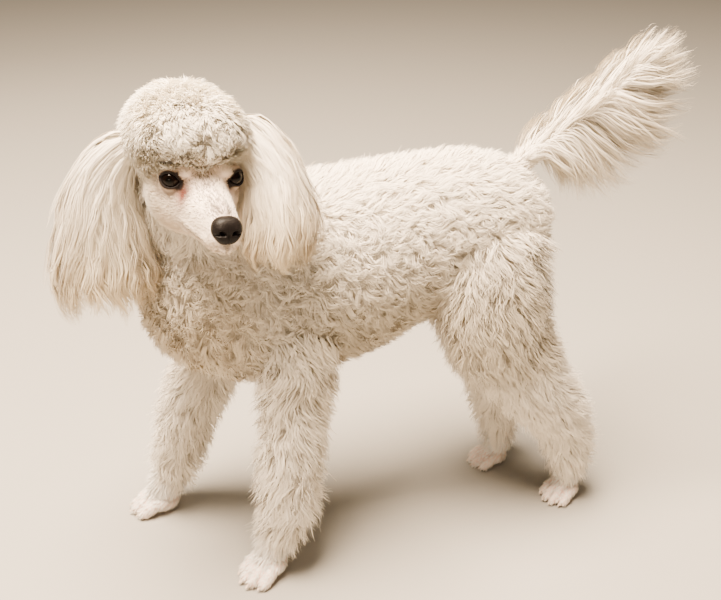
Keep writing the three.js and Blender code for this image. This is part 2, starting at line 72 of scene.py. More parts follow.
SIDES = {"left": 1, "right": -1}
X_AXIS, Y_AXIS, Z_AXIS = np.eye(3)


def unit(v):
    """Each vector over its own length."""
    return v / np.maximum(np.linalg.norm(v, axis=-1, keepdims=True), 1e-9)


def mix(a, b, share):
    """a where share is 0, b where it is 1."""
    return a + (b - a) * share


def ease(x, low, high):
    """0 below low, 1 above high, and 3s^2 - 2s^3 between them."""
    s = np.clip((x - low) / (high - low), 0, 1)
    return s * s * (3 - 2 * s)


def hill(distance, radius):
    """A bump of height 1 that falls as exp(-(distance / radius)^2)."""
    return np.exp(-((distance / radius) ** 2))


def distance_to(places, centre, stretch=(1, 1, 1)):
    """How far each place is from a centre, with each axis stretched first."""
    return np.linalg.norm((places - np.array(centre)) * stretch, axis=1)


def turn_angles(count):
    return np.arange(count) * (2 * np.pi / count)


def crossed(rows, columns):
    """Two tables of the same shape: each cell's row value and its column value."""
    return np.meshgrid(rows, columns, indexing="ij")


# Head frame: x forward along the muzzle, y to the dog's left, z up, from midway between the eyes

HEAD_AT = np.array([97.0, -73.0, 512.0])
HEAD_YAW, HEAD_NOSE_UP, HEAD_ROLL = np.radians([96.0, 4.5, 6.5])


def turned(v, axis, angle):
    """v turned about axis: v cos + (axis x v) sin + axis (axis . v)(1 - cos)."""
    along = axis * (v @ axis)
    return v * np.cos(angle) + np.cross(axis, v) * np.sin(angle) + along * (1 - np.cos(angle))


def head_axes():
    """The head's forward, left and up: yawed from -Y, raised, then rolled about forward."""
    level = np.cos(HEAD_NOSE_UP)
    sine, cosine = np.sin(HEAD_YAW), np.cos(HEAD_YAW)
    forward = np.array([sine * level, -cosine * level, np.sin(HEAD_NOSE_UP)])
    left = turned(np.array([cosine, sine, 0.0]), forward, -HEAD_ROLL)
    return np.array([forward, left, np.cross(forward, left)])


HEAD_AXES = head_axes()


def from_head(places):
    """Head frame to dog frame: x forward + y left + z up + the head's place."""
    return np.asarray(places, float) @ HEAD_AXES + HEAD_AT


def to_head(places):
    return (places - HEAD_AT) @ HEAD_AXES.T


EYES = {side: np.array([2.0, sign * EYE_SPACING / 2, 0.0]) for side, sign in SIDES.items()}
eye_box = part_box("eye_left")
SHIFT = (np.array(eye_box[0]) + np.array(eye_box[1])) / 2 / MM - from_head(EYES["left"])
SHIFT[2] = 0.0

# The coat keeps this far inside the solids' box
BOX_GAP = 0.2
BOX_LOW = np.array(CAD_BOX[0]) / MM - SHIFT + BOX_GAP
BOX_HIGH = np.array(CAD_BOX[1]) / MM - SHIFT - BOX_GAP
BOX_LOW[2] = 0.3


# Body forms: ellipse rings carried along a smooth path, the same as the solids have


def spline(rows, t):
    """Catmull-Rom curve through the rows, evenly in t, with its ends carried on straight."""
    padded = np.vstack([2 * rows[0] - rows[1], rows, 2 * rows[-1] - rows[-2]])
    place = np.clip(t, 0, 1) * (len(rows) - 1)
    i = np.minimum(place.astype(int), len(rows) - 2)
    s = (place - i)[..., None]
    a, b, c, d = (padded[i + k] for k in range(4))
    tangent_b, tangent_c = (c - a) / 2, (d - b) / 2
    cube = 2 * b - 2 * c + tangent_b + tangent_c
    square = 3 * c - 3 * b - 2 * tangent_b - tangent_c
    return ((cube * s + square) * s + tangent_b) * s + b


CHUNK = 20000  # places compared with a form's path at a time


class Form:
    """point(t, angle) = middle + across wide cos(angle) + other deep sin(angle).

    Stations are (x, y, z, wide, deep). Both radii shrink as a quarter circle over each end's dome.
    """

    def __init__(self, stations, side=X_AXIS, domes=(20, 20), square=2, head=False):
        self.rows = np.array(stations, float)
        self.side, self.square, self.head = side, square, head
        line = spline(self.rows, np.linspace(0, 1, 200))[:, :3]
        length = np.linalg.norm(np.diff(line, axis=0), axis=1).sum()
        self.domes = np.minimum(0.45, np.array(domes) / length)

    def ring(self, t, grow=0.0, domed=True):
        """At t: the path's middle, its three axes and the ring's two radii."""
        t = np.asarray(t, float)
        row = spline(self.rows, t)
        step = 1e-3
        along = unit(spline(self.rows, t + step)[..., :3] - spline(self.rows, t - step)[..., :3])
        across = unit(self.side - along * (along @ self.side)[..., None])
        other = np.cross(along, across)
        share = np.minimum(np.minimum(t / self.domes[0], (1 - t) / self.domes[1]), 1)
        scale = np.sqrt(np.maximum(0, 1 - (1 - share) ** 2)) if domed else np.ones_like(t)
        middle, wide, deep = row[..., :3], row[..., 3] + grow, row[..., 4] + grow
        if self.head:
            middle = from_head(middle)
            along, across, other = (axis @ HEAD_AXES for axis in (along, across, other))
        return middle, along, across, other, wide * scale, deep * scale

    def point(self, t, angle, grow=0.0, share=1.0, domed=True):
        middle, _, across, other, wide, deep = self.ring(t, grow, domed)

        def rounded(c):
            return np.sign(c) * np.abs(c) ** (2 / self.square)

        u = (wide * share * rounded(np.cos(angle)))[..., None]
        v = (deep * share * rounded(np.sin(angle)))[..., None]
        return middle + across * u + other * v

    def grid(self, grow=0.0, around=48, along=40):
        """The closed surface as rows of points, from one end's pole to the other's."""
        eased = (1 - np.cos(np.linspace(0, np.pi, along))) / 2
        t, angle = crossed(mix(eased, np.linspace(0, 1, along), 0.5), turn_angles(around))
        points = self.point(t, angle, grow)
        first, last = self.ring(np.array([0.0, 1.0]))[1]
        points[0] -= first * grow
        points[-1] += last * grow
        return points

    def nearest(self, places, grow=0.0):
        """Place along, angle round and distance outside the surface, for each place."""
        table = np.linspace(0.0, 1.0, 121)
        middles = self.ring(table)[0]
        t = np.empty(len(places))
        for start in range(0, len(places), CHUNK):
            chunk = slice(start, start + CHUNK)
            far = ((places[chunk, None] - middles[None]) ** 2).sum(2)
            t[chunk] = table[far.argmin(1)]
        middle, along, across, other, wide, deep = self.ring(np.clip(t, 0.004, 0.996), grow)
        away = places - middle
        u, v = (away * across).sum(1), (away * other).sum(1)
        wide, deep = np.maximum(wide, 0.5), np.maximum(deep, 0.5)
        radial = np.hypot(u / wide, v / deep)
        outside = np.hypot(u, v) * (1 - 1 / np.maximum(radial, 1e-3))
        beyond = np.abs((away * along).sum(1)) - 3
        beyond = np.where((t < 0.005) | (t > 0.995), beyond, -99)
        return t, np.arctan2(v / deep, u / wide), np.maximum(outside, beyond)


def trunk_at(y, top, bottom, half_width):
    return (0, y, (top + bottom) / 2, half_width, (top - bottom) / 2)


TRUNK_SECTIONS = [
    (-130, 372, 300, 40), (-98, 420, 262, 62), (-55, 454, 240, CHEST_HALF - 8),
    (5, WITHERS, 230, CHEST_HALF), (80, WITHERS + 4, 240, CHEST_HALF),
    (140, WITHERS + 8, 264, CHEST_HALF - 4), (200, WITHERS + 9, 290, CHEST_HALF - 10),
    (250, WITHERS + 5, 300, CHEST_HALF - 12), (300, WITHERS - 18, 312, CHEST_HALF - 24),
    (338, WITHERS - 54, 338, 40),
]
TRUNK = [trunk_at(*section) for section in TRUNK_SECTIONS]
NECK = [
    (0, 0, 372, 74, 88), (2, -34, 418, 62, 76), (9, -66, 460, 56, 70),
    (20, -80, 500, 48, 57), (26, -80, 530, 34, 38),
]
TOPKNOT = [
    (-108, -4, 14, 50, 42), (-76, -5, 24, 58, 54), (-42, -5, 30, 61, 57),
    (-8, -4, 36, 57, 46), (22, -3, 37, 46, 32),
]
SKULL = [
    (-96, 0, -4, 30, 30), (-76, 0, -8, 38, 38), (-50, 0, -13, 43, 46),
    (-24, 0, -17, 44, 46), (0, 0, -22, 36, 38), (18, 0, -26, 27, 30),
    (42, 0, -29, 22, 24.5), (64, 0, -31, 18.5, 20), (82, 0, -34, 15.5, 17),
]
FORE_LEFT = [
    (40, 34, 376, 30, 50), (54, 28, 325, 36, 56), (68, 18, 260, 42, 50), (72, 10, 200, 44, 45),
    (73, 5, 150, 43, 44), (73, 2, 100, 41, 43), (72, -9, 62, 33, 35), (72, -16, 38, 26, 27),
]
FORE_RIGHT = [
    (-40, 12, 376, 30, 50), (-55, -6, 325, 36, 56), (-68, -40, 250, 42, 50),
    (-76, -72, 180, 43, 46), (-80, -88, 135, 41, 43), (-84, -99, 95, 37, 39),
    (-87, -108, 62, 33, 35), (-88, -115, 38, 25, 26),
]
THIGH_LEFT = [
    (38, 264, 400, 38, 70), (52, 258, 330, 46, 72), (60, 264, 270, 46, 68), (62, 296, 210, 44, 54),
]
THIGH_RIGHT = [
    (-38, 262, 400, 38, 68), (-52, 258, 330, 46, 68),
    (-58, 270, 270, 45, 58), (-56, 288, 210, 43, 46),
]
SHANK_LEFT = [
    (62, 278, 250, 44, 62), (62, 308, 200, 43, 52), (61, 346, 152, 40, 44),
    (59, 368, 110, 36, 38), (58, 380, 72, 31, 32), (57, 385, 38, 24, 25),
]
SHANK_RIGHT = [
    (-57, 278, 245, 43, 50), (-53, 298, 190, 41, 46), (-49, 315, 145, 38, 41),
    (-45, 324, 105, 34, 37), (-42, 328, 72, 30, 32), (-41, 328, 38, 24, 25),
]
TAIL_SHAFT = [
    (0, 262, 412, 22, 22), (0, 300, 446, 15, 15), (0, 350, 482, 14, 14),
    (0, 400, 516, 9, 11), (0, 448, 552, 6, 7),
]
EAR_LEFT = [
    (44, -36, 550, 20, 24), (58, -20, 530, 22, 29), (74, -4, 500, 25, 33),
    (90, 0, 464, 25, 39), (97, -1, 434, 23, 38), (98, -3, 406, 18, 30),
]
EAR_RIGHT = [
    (44, -116, 542, 18, 20), (38, -145, 518, 21, 26), (36, -161, 480, 26, 37),
    (36, -166, 430, 33, 49), (36, -166, 392, 33, 53), (36, -162, 350, 25, 40),
]
FORMS = {
    "trunk": Form(TRUNK, domes=(26, 26)),
    "neck": Form(NECK, domes=(40, 24)),
    "topknot": Form(TOPKNOT, side=Y_AXIS, domes=(30, 26), head=True),
    "skull": Form(SKULL, side=Y_AXIS, domes=(20, 8), square=2.3, head=True),
    "fore_left": Form(FORE_LEFT, domes=(16, 12)),
    "fore_right": Form(FORE_RIGHT, domes=(16, 12)),
    "thigh_left": Form(THIGH_LEFT, domes=(24, 20)),
    "thigh_right": Form(THIGH_RIGHT, domes=(24, 20)),
    "shank_left": Form(SHANK_LEFT, domes=(16, 12)),
    "shank_right": Form(SHANK_RIGHT, domes=(16, 12)),
    "tail": Form(TAIL_SHAFT, domes=(14, 8)),
    "ear_left": Form(EAR_LEFT, domes=(6, 6)),
    "ear_right": Form(EAR_RIGHT, domes=(6, 6)),
}
FORM_NAMES = list(FORMS)
LEGS = [name for name in FORMS if name.startswith(("fore", "thigh", "shank"))]

# How far the skin lies inside the coat's tips
SKIN_DEPTH = {"trunk": 10, "neck": 10, "topknot": 11, "skull": 4, "tail": 5}
SKIN_DEPTH.update({name: 20 if name.startswith("fore") else 16 for name in LEGS})

PAWS = {
    "fore_left": {"at": (72, -26, 0.0), "turn": 0.45, "size": 1.0},
    "fore_right": {"at": (-90, -130, 0.0), "turn": -0.1, "size": 1.0},
    "hind_left": {"at": (57, 380, 0.0), "turn": 0.35, "size": 0.88},
    "hind_right": {"at": (-40, 322, 0.0), "turn": 0.0, "size": 0.88},
}
TOES = (-1.5, -0.5, 0.5, 1.5)
TOE_PITCH = 12.2


# Meshes


def grid_quads(rows, columns, closed=True):
    """Quads between neighbouring rows of points, joined round where the rows are closed."""
    r = np.arange(rows - 1)[:, None]
    c = np.arange(columns if closed else columns - 1)[None, :]
    right = (c + 1) % columns
    near, far = r * columns, (r + 1) * columns
    return np.stack([near + c, near + right, far + right, far + c], -1).reshape(-1, 4)


def joined(parts):
    """Several (points, quads) as one."""
    points, quads, start = [], [], 0
    for p, q in parts:
        points.append(p.reshape(-1, 3))
        quads.append(q + start)
        start += p.size // 3
    return np.concatenate(points), np.concatenate(quads)


def to_row(points):
    """The dog's frame in millimetres to the row frame in metres, as one row of numbers."""
    return ((points.reshape(-1, 3) + SHIFT) * MM).astype(np.float32).ravel()


def make_mesh(name, points, quads):
    mesh = bpy.data.meshes.new(name)
    mesh.vertices.add(points.size // 3)
    mesh.vertices.foreach_set("co", to_row(points))
    mesh.loops.add(quads.size)
    mesh.loops.foreach_set("vertex_index", quads.astype(np.int32).ravel())
    mesh.polygons.add(len(quads))
    mesh.polygons.foreach_set("loop_start", np.arange(0, quads.size, 4, dtype=np.int32))
    mesh.update(calc_edges=True)
    mesh.polygons.foreach_set("use_smooth", np.full(len(quads), True))
    piece = bpy.data.objects.new(name, mesh)
    bpy.context.scene.collection.objects.link(piece)
    return piece


def read(items, key, each=1, kind=np.float32):
    """One property of all of a mesh's items, in one row."""
    values = np.empty(len(items) * each, kind)
    items.foreach_get(key, values)
    return values


def points_of(mesh):
    """A mesh's points, back in the dog's frame."""
    return read(mesh.vertices, "co", 3).reshape(-1, 3).astype(float) / MM - SHIFT


def normals_of(mesh):
    return read(mesh.vertex_normals, "vector", 3).reshape(-1, 3).astype(float)


def quads_of(mesh):
    return read(mesh.loops, "vertex_index", kind=np.int32).reshape(-1, 4)


def set_tint(mesh, colours, alpha=1.0):
    """A linear colour for each point, kept as an attribute that the material reads."""
    attribute = mesh.attributes.new("tint", "FLOAT_COLOR", "POINT")
    rgba = np.ones((len(colours), 4), np.float32)
    rgba[:, :3] = colours
    rgba[:, 3] = alpha
    attribute.data.foreach_set("color", rgba.ravel())


def remeshed(name, parts, voxel, smoothing):
    """One closed surface round overlapping ones: a voxel remesh, then its steps smoothed away."""
    piece = make_mesh(name, *joined(parts))
    remesh = piece.modifiers.new("remesh", "REMESH")
    remesh.mode = "VOXEL"
    remesh.voxel_size = voxel * MM
    remesh.adaptivity = 0
    remesh.use_smooth_shade = True
    smooth = piece.modifiers.new("smooth", "SMOOTH")
    smooth.factor = 0.5
    smooth.iterations = smoothing
    evaluated = piece.evaluated_get(bpy.context.evaluated_depsgraph_get())
    mesh = bpy.data.meshes.new_from_object(evaluated)
    bpy.data.objects.remove(piece)
    return mesh


def egg(centre, radii, place, around=40, rows=26):
    """An ellipsoid, centre + radii (cos a sin b, sin a sin b, cos b), moved by place."""
    b, a = crossed(np.linspace(0, np.pi, rows), turn_angles(around))
    points = np.stack([np.cos(a) * np.sin(b), np.sin(a) * np.sin(b), np.cos(b)], -1)
    return place(points * np.array(radii) + np.array(centre)), grid_quads(rows, around)[:, ::-1]


def form_shell(name, grow, around=48, along=40):
    return FORMS[name].grid(grow, around, along), grid_quads(along, around)


def toward(axes, turn, wide):
    """The way that lies wide off the third axis, turned round it from the first to the second."""
    beside = (np.cos(turn) * np.sin(wide))[..., None] * axes[0]
    beside = beside + (np.sin(turn) * np.sin(wide))[..., None] * axes[1]
    return beside + np.cos(wide)[..., None] * axes[2]


def paw_turn(paw):
    c, s = np.cos(paw["turn"]), np.sin(paw["turn"])
    return np.array([[c, s, 0], [-s, c, 0], [0, 0, 1]])


def paw_frame(paw):
    """A paw's own places turned about z, scaled, and moved to the paw."""
    return lambda points: (points * paw["size"]) @ paw_turn(paw) + np.array(paw["at"])


def to_paw(places, paw):
    """Places in a paw's own frame: across, backwards and up."""
    return (places - np.array(paw["at"])) @ paw_turn(paw).T / paw["size"]


# Skin: the body under the coat, the clipped face and the shaved feet, as one piece


def body_mesh():
    """Every form but the ears, drawn in by the coat's depth. The skull lies below its own mesh."""
    covered = [n for n in FORMS if not n.startswith("ear")]
    parts = [form_shell(n, -SKIN_DEPTH[n] - (4 if n == "skull" else 0)) for n in covered]
    return remeshed("body", parts, 4.0, 8)


def toe_y(k):
    """The middle two toes reach further forward than the outer two."""
    return -22 if abs(k) < 1 else -14


def paw_mesh(name, paw):
    """A shaved foot: four arched toes with knuckles, the arch behind, a pad and the pastern."""
    here = paw_frame(paw)
    parts = []
    for k in TOES:
        x, y = TOE_PITCH * k, toe_y(k)
        parts += [
            egg((x, y - 6.5, 8.2), (6.0, 8.2, 7.6), here),
            egg((x * 0.97, y + 1, 13.2), (6.4, 8.6, 8.2), here),
            egg((x * 0.85, y + 12, 17), (6.6, 13, 8.5), here),
        ]
    parts += [
        egg((0, 4, 13), (18, 20, 13), here),
        egg((0, 2, 22), (15.5, 18, 14), here),
        egg((0, 10, 36), (14.5, 16, 27), here),
    ]
    return remeshed(name, parts, 1.5, 5)


EYE_TILT = np.radians(9)
LID_LONG = np.radians(66)
LID_HIGH = np.radians(39)


def eye_frame(side):
    """Axes round an eye: towards its outer corner, up, and out along its gaze, which is forward, a
    little out and up. The first two are tilted about the third."""
    sign = SIDES[side]
    out = unit(np.array([0.86, sign * 0.50, 0.03]))
    corner = unit(np.cross(Z_AXIS, out)) * sign
    corner = unit(corner - out * (corner @ out))
    up = np.cross(out, corner) * sign
    c, s = np.cos(EYE_TILT), np.sin(EYE_TILT)
    return corner * c + up * s, up * c - corner * s, out


def lid_angle(around):
    """Half angle of the almond opening, seen from the eye's middle: where a ray at that turn meets
    the two curves y = high (1 - (x / long)^2)."""
    rise, run = np.abs(np.sin(around)), np.cos(around)
    return 2 * LID_HIGH / (rise + np.sqrt(rise**2 + 4 * (LID_HIGH * run / LID_LONG) ** 2))


def past_lids(local, side):
    """Angle beyond the almond opening, seen from the eye, and how far towards the inner corner."""
    corner, up, out = eye_frame(side)
    away = unit(local - EYES[side])
    wide = np.arccos(np.clip(away @ out, -1, 1))
    return wide - lid_angle(np.arctan2(away @ up, away @ corner)), ease(-(away @ corner), 0.25, 0.8)


def eye_pigment(local, side):
    """Dark rim round the opening, wider at the inner corner: 1 on it, fading over a few degrees."""
    beyond, inward = past_lids(local, side)
    near = ease(-distance_to(local, EYES[side]), -16.5, -14.0)
    return ease(mix(0.16, 0.33, inward) - beyond, -0.12, 0.08) * near


def head_mesh():
    """The clipped face and skull: the skull's form with lids, cheeks, brows, lips, chin, bridge."""
    parts = [form_shell("skull", -2.5, 72, 90)]
    for sign in SIDES.values():
        parts += [
            egg((2, sign * 28, 0), (11.9, 11.9, 11.9), from_head),
            egg((-26, sign * 24, -20), (24, 15, 20), from_head),
            egg((4, sign * 17, 6), (15, 12, 9), from_head),
            egg((62, sign * 7.5, -36), (20, 9, 9.5), from_head),
        ]
    parts.append(egg((48, 0, -45), (34, 12, 8), from_head))
    parts.append(egg((38, 0, -14.5), (38, 9, 9.5), from_head))
    mesh = remeshed("head", parts, 1.35, 7)
    shape_face(mesh)
    return mesh


MOUTH_ALONG = (0.62, 0.76, 0.88, 0.955, 0.985, 1.0)
MOUTH_BELOW = (-0.50, -0.62, -0.70, -0.76, -1.2, -1.57)
MOUTH_RADIUS = 19


def mouth_distance(places):
    """Distance up or down from the line of the mouth, and how far it is open there, 0 to 1."""
    t, angle, _ = FORMS["skull"].nearest(places)
    below = np.arctan2(np.sin(angle), np.abs(np.cos(angle)))
    line = np.interp(t, MOUTH_ALONG, MOUTH_BELOW)
    return (below - line) * MOUTH_RADIUS, ease(t, 0.61, 0.68)


def shape_face(mesh):
    """Moves the face's points along their normals by a sum of hills: the mouth's groove between two
    lips, hollows under the eyes, cheeks and the stop. Then it draws in the openings of the eyes."""
    places, normals = points_of(mesh), normals_of(mesh)
    local = to_head(places)
    gap, opened = mouth_distance(places)
    move = -1.7 * hill(gap, 1.3) * opened
    move += 1.0 * hill(gap - 4.2, 2.6) * opened + 0.7 * hill(gap + 3.4, 2.2) * opened
    for sign in SIDES.values():
        move -= 2.6 * hill(distance_to(local, (15, sign * 22, -9)), 9)
        move += 1.4 * hill(distance_to(local, (-14, sign * 40, -17)), 15)
    move -= 1.6 * hill(distance_to(local, (19, 0, 3)), 9)
    local = to_head(places + normals * move[:, None])
    for side, middle in EYES.items():
        away = local - middle
        r = np.linalg.norm(away, axis=1)
        inside = ease(-past_lids(local, side)[0], -0.02, 0.10) * (r < 22)
        local = middle + unit(away) * mix(r, np.minimum(r, 9.2), inside)[:, None]
    mesh.vertices.foreach_set("co", to_row(from_head(local)))
    mesh.update()


EAR_FLAP = 0.66  # the ear's own skin ends here, as a share of its hair's length


def ear_leather(side):
    """The ear's flap: its form drawn in to a thin oval, down to two thirds of the hair's length."""
    t, angle = crossed(np.linspace(0, EAR_FLAP, 30), turn_angles(32))
    share = 0.42 * np.sqrt(np.clip(1 - (2 * t / EAR_FLAP - 1) ** 4, 0, 1))
    return FORMS[f"ear_{side}"].point(t, angle, 0.0, share, domed=False)


def make_skin():
    """Body, head and feet in one mesh. Their shells overlap where the coat hides the join."""
    meshes = [body_mesh(), head_mesh()] + [paw_mesh(name, paw) for name, paw in PAWS.items()]
    parts = [(points_of(mesh), quads_of(mesh)) for mesh in meshes]
    parts += [(ear_leather(side), grid_quads(30, 32)) for side in SIDES]
    points, quads = joined(parts)
    points[:, 2] = np.maximum(points[:, 2], 0.0)
    skin = make_mesh("skin", points, quads)
    set_tint(skin.data, *skin_colour(points))
    return skin, meshes


# Colour

TEAR_MARK = {"left": 0.55, "right": 1.2}


def srgb(hex_colour):
    """An sRGB hex colour as linear numbers: ((c + 0.055) / 1.055)^2.4, or c / 12.92 if dark."""
    c = np.array([int(hex_colour[k : k + 2], 16) for k in (0, 2, 4)]) / 255
    return np.where(c > 0.04045, ((c + 0.055) / 1.055) ** 2.4, c / 12.92)


def painted(colour, layers):
    """A colour with each layer (hex colour, share at each place) laid over those before."""
    for hex_colour, share in layers:
        colour = mix(colour, srgb(hex_colour), np.clip(share, 0, 1)[:, None])
    return colour


def skin_colour(places):
    """Pink under white hair, grey pigment round nose and stop, painted shade round the eyes, their
    dark rims and a brown tear mark. Under the long coat it is the coat's own colour a tenth darker,
    painted shade deep in the coat. Also the share of woolly undercoat there."""
    local = to_head(places)
    height = places[:, 2]
    gap, opened = mouth_distance(places)
    near_head = ease(local[:, 0], -120, -100) * ease(-distance_to(local, (0, 0, -10)), -150, -120)
    outside = FORMS["topknot"].nearest(places, -SKIN_DEPTH["topknot"])[2]
    face = ease(local[:, 0], -30, 0) * near_head * ease(outside, -1, 3)
    wool = ease(height, 50, 62) * (1 - face)
    layers = [
        ("efdfce", 0.8 * face),
        ("b9a297", 0.6 * face * hill(distance_to(local, (22, 0, 2), (0.8, 1, 1)), 12)),
        ("8d7b74", 0.75 * face * hill(distance_to(local, (68, 0, -14), (0.8, 1, 1)), 12)),
    ]
    for side, middle in EYES.items():
        inner = distance_to(local, (15, SIDES[side] * 19, -14), (0.9, 1, 0.6))
        layers += [
            # painted shade round the eye
            ("94806f", 0.75 * ease(-distance_to(local, middle), -21.0, -14.5) * face),
            ("6c3a2e", TEAR_MARK[side] * hill(inner, 8.5) * face),
            ("1d1412", eye_pigment(local, side) * face),
        ]
    paws = ease(-height, -46, -34) * (1 - near_head)
    layers += [("33221f", 0.95 * hill(gap, 2.0) * opened * face), ("ead3c5", 0.85 * paws)]
    for paw in PAWS.values():
        across, ahead, _ = to_paw(places, paw).T
        toe = across / TOE_PITCH
        crease = hill((toe - np.round(toe)) * TOE_PITCH, 2.4) * ease(-np.abs(toe), -1.5, -1.3)
        crease = crease * ease(-ahead, -2, 6) * ease(-np.abs(ahead), -45, -35)
        layers.append(("cf9c8c", 0.5 * crease * paws))
    layers.append(("8a6a60", ease(-height, -5.0, -2.0) * (1 - near_head)))
    # painted shade: under the coat the skin is the coat's colour a tenth darker
    bare = mix(srgb("e4c6b2"), coat_colour(places) * 0.9, wool[:, None])
    return painted(bare, layers), wool


def coat_colour(places):
    """Cream white, greyer along the muzzle, with the tear mark and the eyes' dark rims. Painted
    shade makes it darker and warmer on chest and lower flanks, warm tan over the face, darker
    under the jaw and grey-brown round the eyes."""
    local = to_head(places)
    _, y, z = places.T
    on_head = ease(-distance_to(local, (10, 0, -8)), -120, -90)
    chest = ease(-y, -10, 60) * ease(-z, -430, -330) * ease(z, 180, 310)
    flank = ease(-z, -430, -300) * ease(z, 200, 260) * ease(y, -40, 60)
    face = ease(local[:, 0], -35, -5) * on_head * ease(-local[:, 2], -16, -6)
    layers = [
        # painted shade: the chest under the head and the lower flanks made darker and warmer
        ("cdbb9e", 0.75 * chest * (1 - on_head)),
        ("c6b8a0", 0.8 * flank),
        # painted shade: warm tan over the face, and darker again low on it, under the jaw
        ("e0ccb2", 0.7 * face),
        ("c9ad8f", 0.45 * face * ease(-local[:, 2], 22, 50)),
    ]
    for along, radius, share in ((24, 10, 0.6), (46, 9, 0.45), (68, 11, 0.85)):
        spot = distance_to(local, (along, -3, 7 - 0.31 * along), (0.6, 1, 1))
        layers.append(("7b6e65", share * hill(spot, radius)))
    for side, middle in EYES.items():
        inner = distance_to(local, (18, SIDES[side] * 18, -14), (0.8, 1, 0.65))
        layers += [
            # painted shade round the eye
            ("94806f", 0.75 * ease(-distance_to(local, middle - 2 * Z_AXIS), -22.0, -14.5)),
            ("6f4136", TEAR_MARK[side] * hill(inner, 9.0)),
            ("241815", eye_pigment(local, side)),
        ]
    return painted(srgb("faf0df"), layers)


# Materials


def feed(tree, node, links):
    for key, source in links.items():
        tree.links.new(source, node.inputs[key])


def add_node(tree, kind, links=None, **settings):
    """Adds a node and returns its outputs. settings are its properties or the values of its inputs,
    links what feeds them."""
    node = tree.nodes.new("ShaderNode" + kind)
    for key, value in settings.items():
        socket = key.replace("_", " ")
        if socket in node.inputs:
            node.inputs[socket].default_value = value
        else:
            setattr(node, key, value)
    feed(tree, node, links or {})
    return node.outputs


def new_material(name, **settings):
    """A principled surface, with uniform values on its own sockets."""
    material = bpy.data.materials.new(name)
    material.use_nodes = True
    shader = material.node_tree.nodes["Principled BSDF"]
    for key, value in settings.items():
        shader.inputs[key.replace("_", " ")].default_value = value
    return material, material.node_tree, shader


def tint_of(tree):
    return add_node(tree, "Attribute", attribute_name="tint")


def at_place(tree):
    return {"Vector": add_node(tree, "TexCoord")["Object"]}


def ramp_of(tree, factor, first, last):
    """The colour between first and last at a factor."""
    colour = add_node(tree, "ValToRGB", {"Fac": factor})["Color"]
    for element, hex_colour in zip(colour.node.color_ramp.elements, (first, last)):
        element.color = (*srgb(hex_colour), 1)
    return colour


def tinted_material(name, **settings):
    """A surface whose colour follows the piece's own tint."""
    material, tree, shader = new_material(name, **settings)
    feed(tree, shader, {"Base Color": tint_of(tree)["Color"]})
    return material


def skin_material():
    """Skin under clipped hair: soft and matt, with pores and fine hair as bump. Where the tint's
    alpha says so it is woolly undercoat, with deeper bump, painted shade in its hollows and a
    little painted light on its tops."""
    look = dict(Roughness=0.7, IOR=1.4, Specular_IOR_Level=0.3)
    material, tree, shader = new_material("clipped_skin", **look)
    tint, place = tint_of(tree), at_place(tree)
    pores = add_node(tree, "TexNoise", place, Scale=700.0, Detail=4.0)["Fac"]
    fine = add_node(tree, "Bump", {"Height": pores}, Strength=0.35, Distance=0.0006)["Normal"]
    wool = add_node(tree, "TexNoise", place, Scale=330.0, Detail=4.0, Distortion=2.5)["Fac"]
    raised = add_node(tree, "Math", {0: wool, 1: tint["Alpha"]}, operation="MULTIPLY")[0]
    fleece = {"Height": raised, "Normal": fine}
    normal = add_node(tree, "Bump", fleece, Strength=1.0, Distance=0.004)["Normal"]
    # painted shade and light: the tint times 0.8 in the wool's hollows, up to 1.06 on its tops
    span = dict(From_Min=0.3, From_Max=0.7, To_Min=0.8, To_Max=1.06)
    hollows = add_node(tree, "MapRange", {"Value": wool}, **span)["Result"]
    scaled = {"Vector": tint["Color"], "Scale": hollows}
    shade = add_node(tree, "VectorMath", scaled, operation="SCALE")["Vector"]
    # A mix of two colours: inputs 0, 6 and 7 are its factor and the colours, output 2 its result
    mixed = {0: tint["Alpha"], 6: tint["Color"], 7: shade}
    colour = add_node(tree, "Mix", mixed, data_type="RGBA")[2]
    feed(tree, shader, {"Base Color": colour, "Normal": normal})
    return material


def nose_material():
    """Nose leather: black, pebbled in cells about 1 mm across, moist enough to shine a little."""
    look = dict(Roughness=0.48, IOR=1.45, Specular_IOR_Level=0.14)
    material, tree, shader = new_material("nose_leather", **look)
    pebbles = dict(Scale=900.0, feature="SMOOTH_F1")
    cells = add_node(tree, "TexVoronoi", at_place(tree), **pebbles)["Distance"]
    normal = add_node(tree, "Bump", {"Height": cells}, Strength=0.6, Distance=0.0005)["Normal"]
    colour = ramp_of(tree, cells, "14100f", "0a0807")
    feed(tree, shader, {"Base Color": colour, "Normal": normal})
    return material


def claw_material():
    """Horn of a clipped claw: pale and slightly glossy, a little clouded."""
    material, tree, shader = new_material("claw_horn", Roughness=0.38, IOR=1.54)
    clouds = add_node(tree, "TexNoise", at_place(tree), Scale=300.0, Detail=2.0)["Fac"]
    feed(tree, shader, {"Base Color": ramp_of(tree, clouds, "b89f8b", "dccbb9")})
    return material


HAIR_LOOK = dict(Sheen_Weight=0.25, Sheen_Roughness=0.5, Specular_IOR_Level=0.25)
MATERIALS = {
    "coat": tinted_material("poodle_hair", Roughness=0.78, IOR=1.45, **HAIR_LOOK),
    "skin": skin_material(),
    "nose": nose_material(),
    "eye": tinted_material("dark_eye", Roughness=0.06, IOR=1.38, Specular_IOR_Level=0.2),
    "claw": claw_material(),
}


def placed(piece, material, slot, *nodes):
    """Gives a piece its finish, its body and the solids that it stands for."""
    piece.data.materials.append(MATERIALS[material])
    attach(piece, "root")
    if nodes:
        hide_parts(*nodes)


# Eyes, lid rims, nose and claws


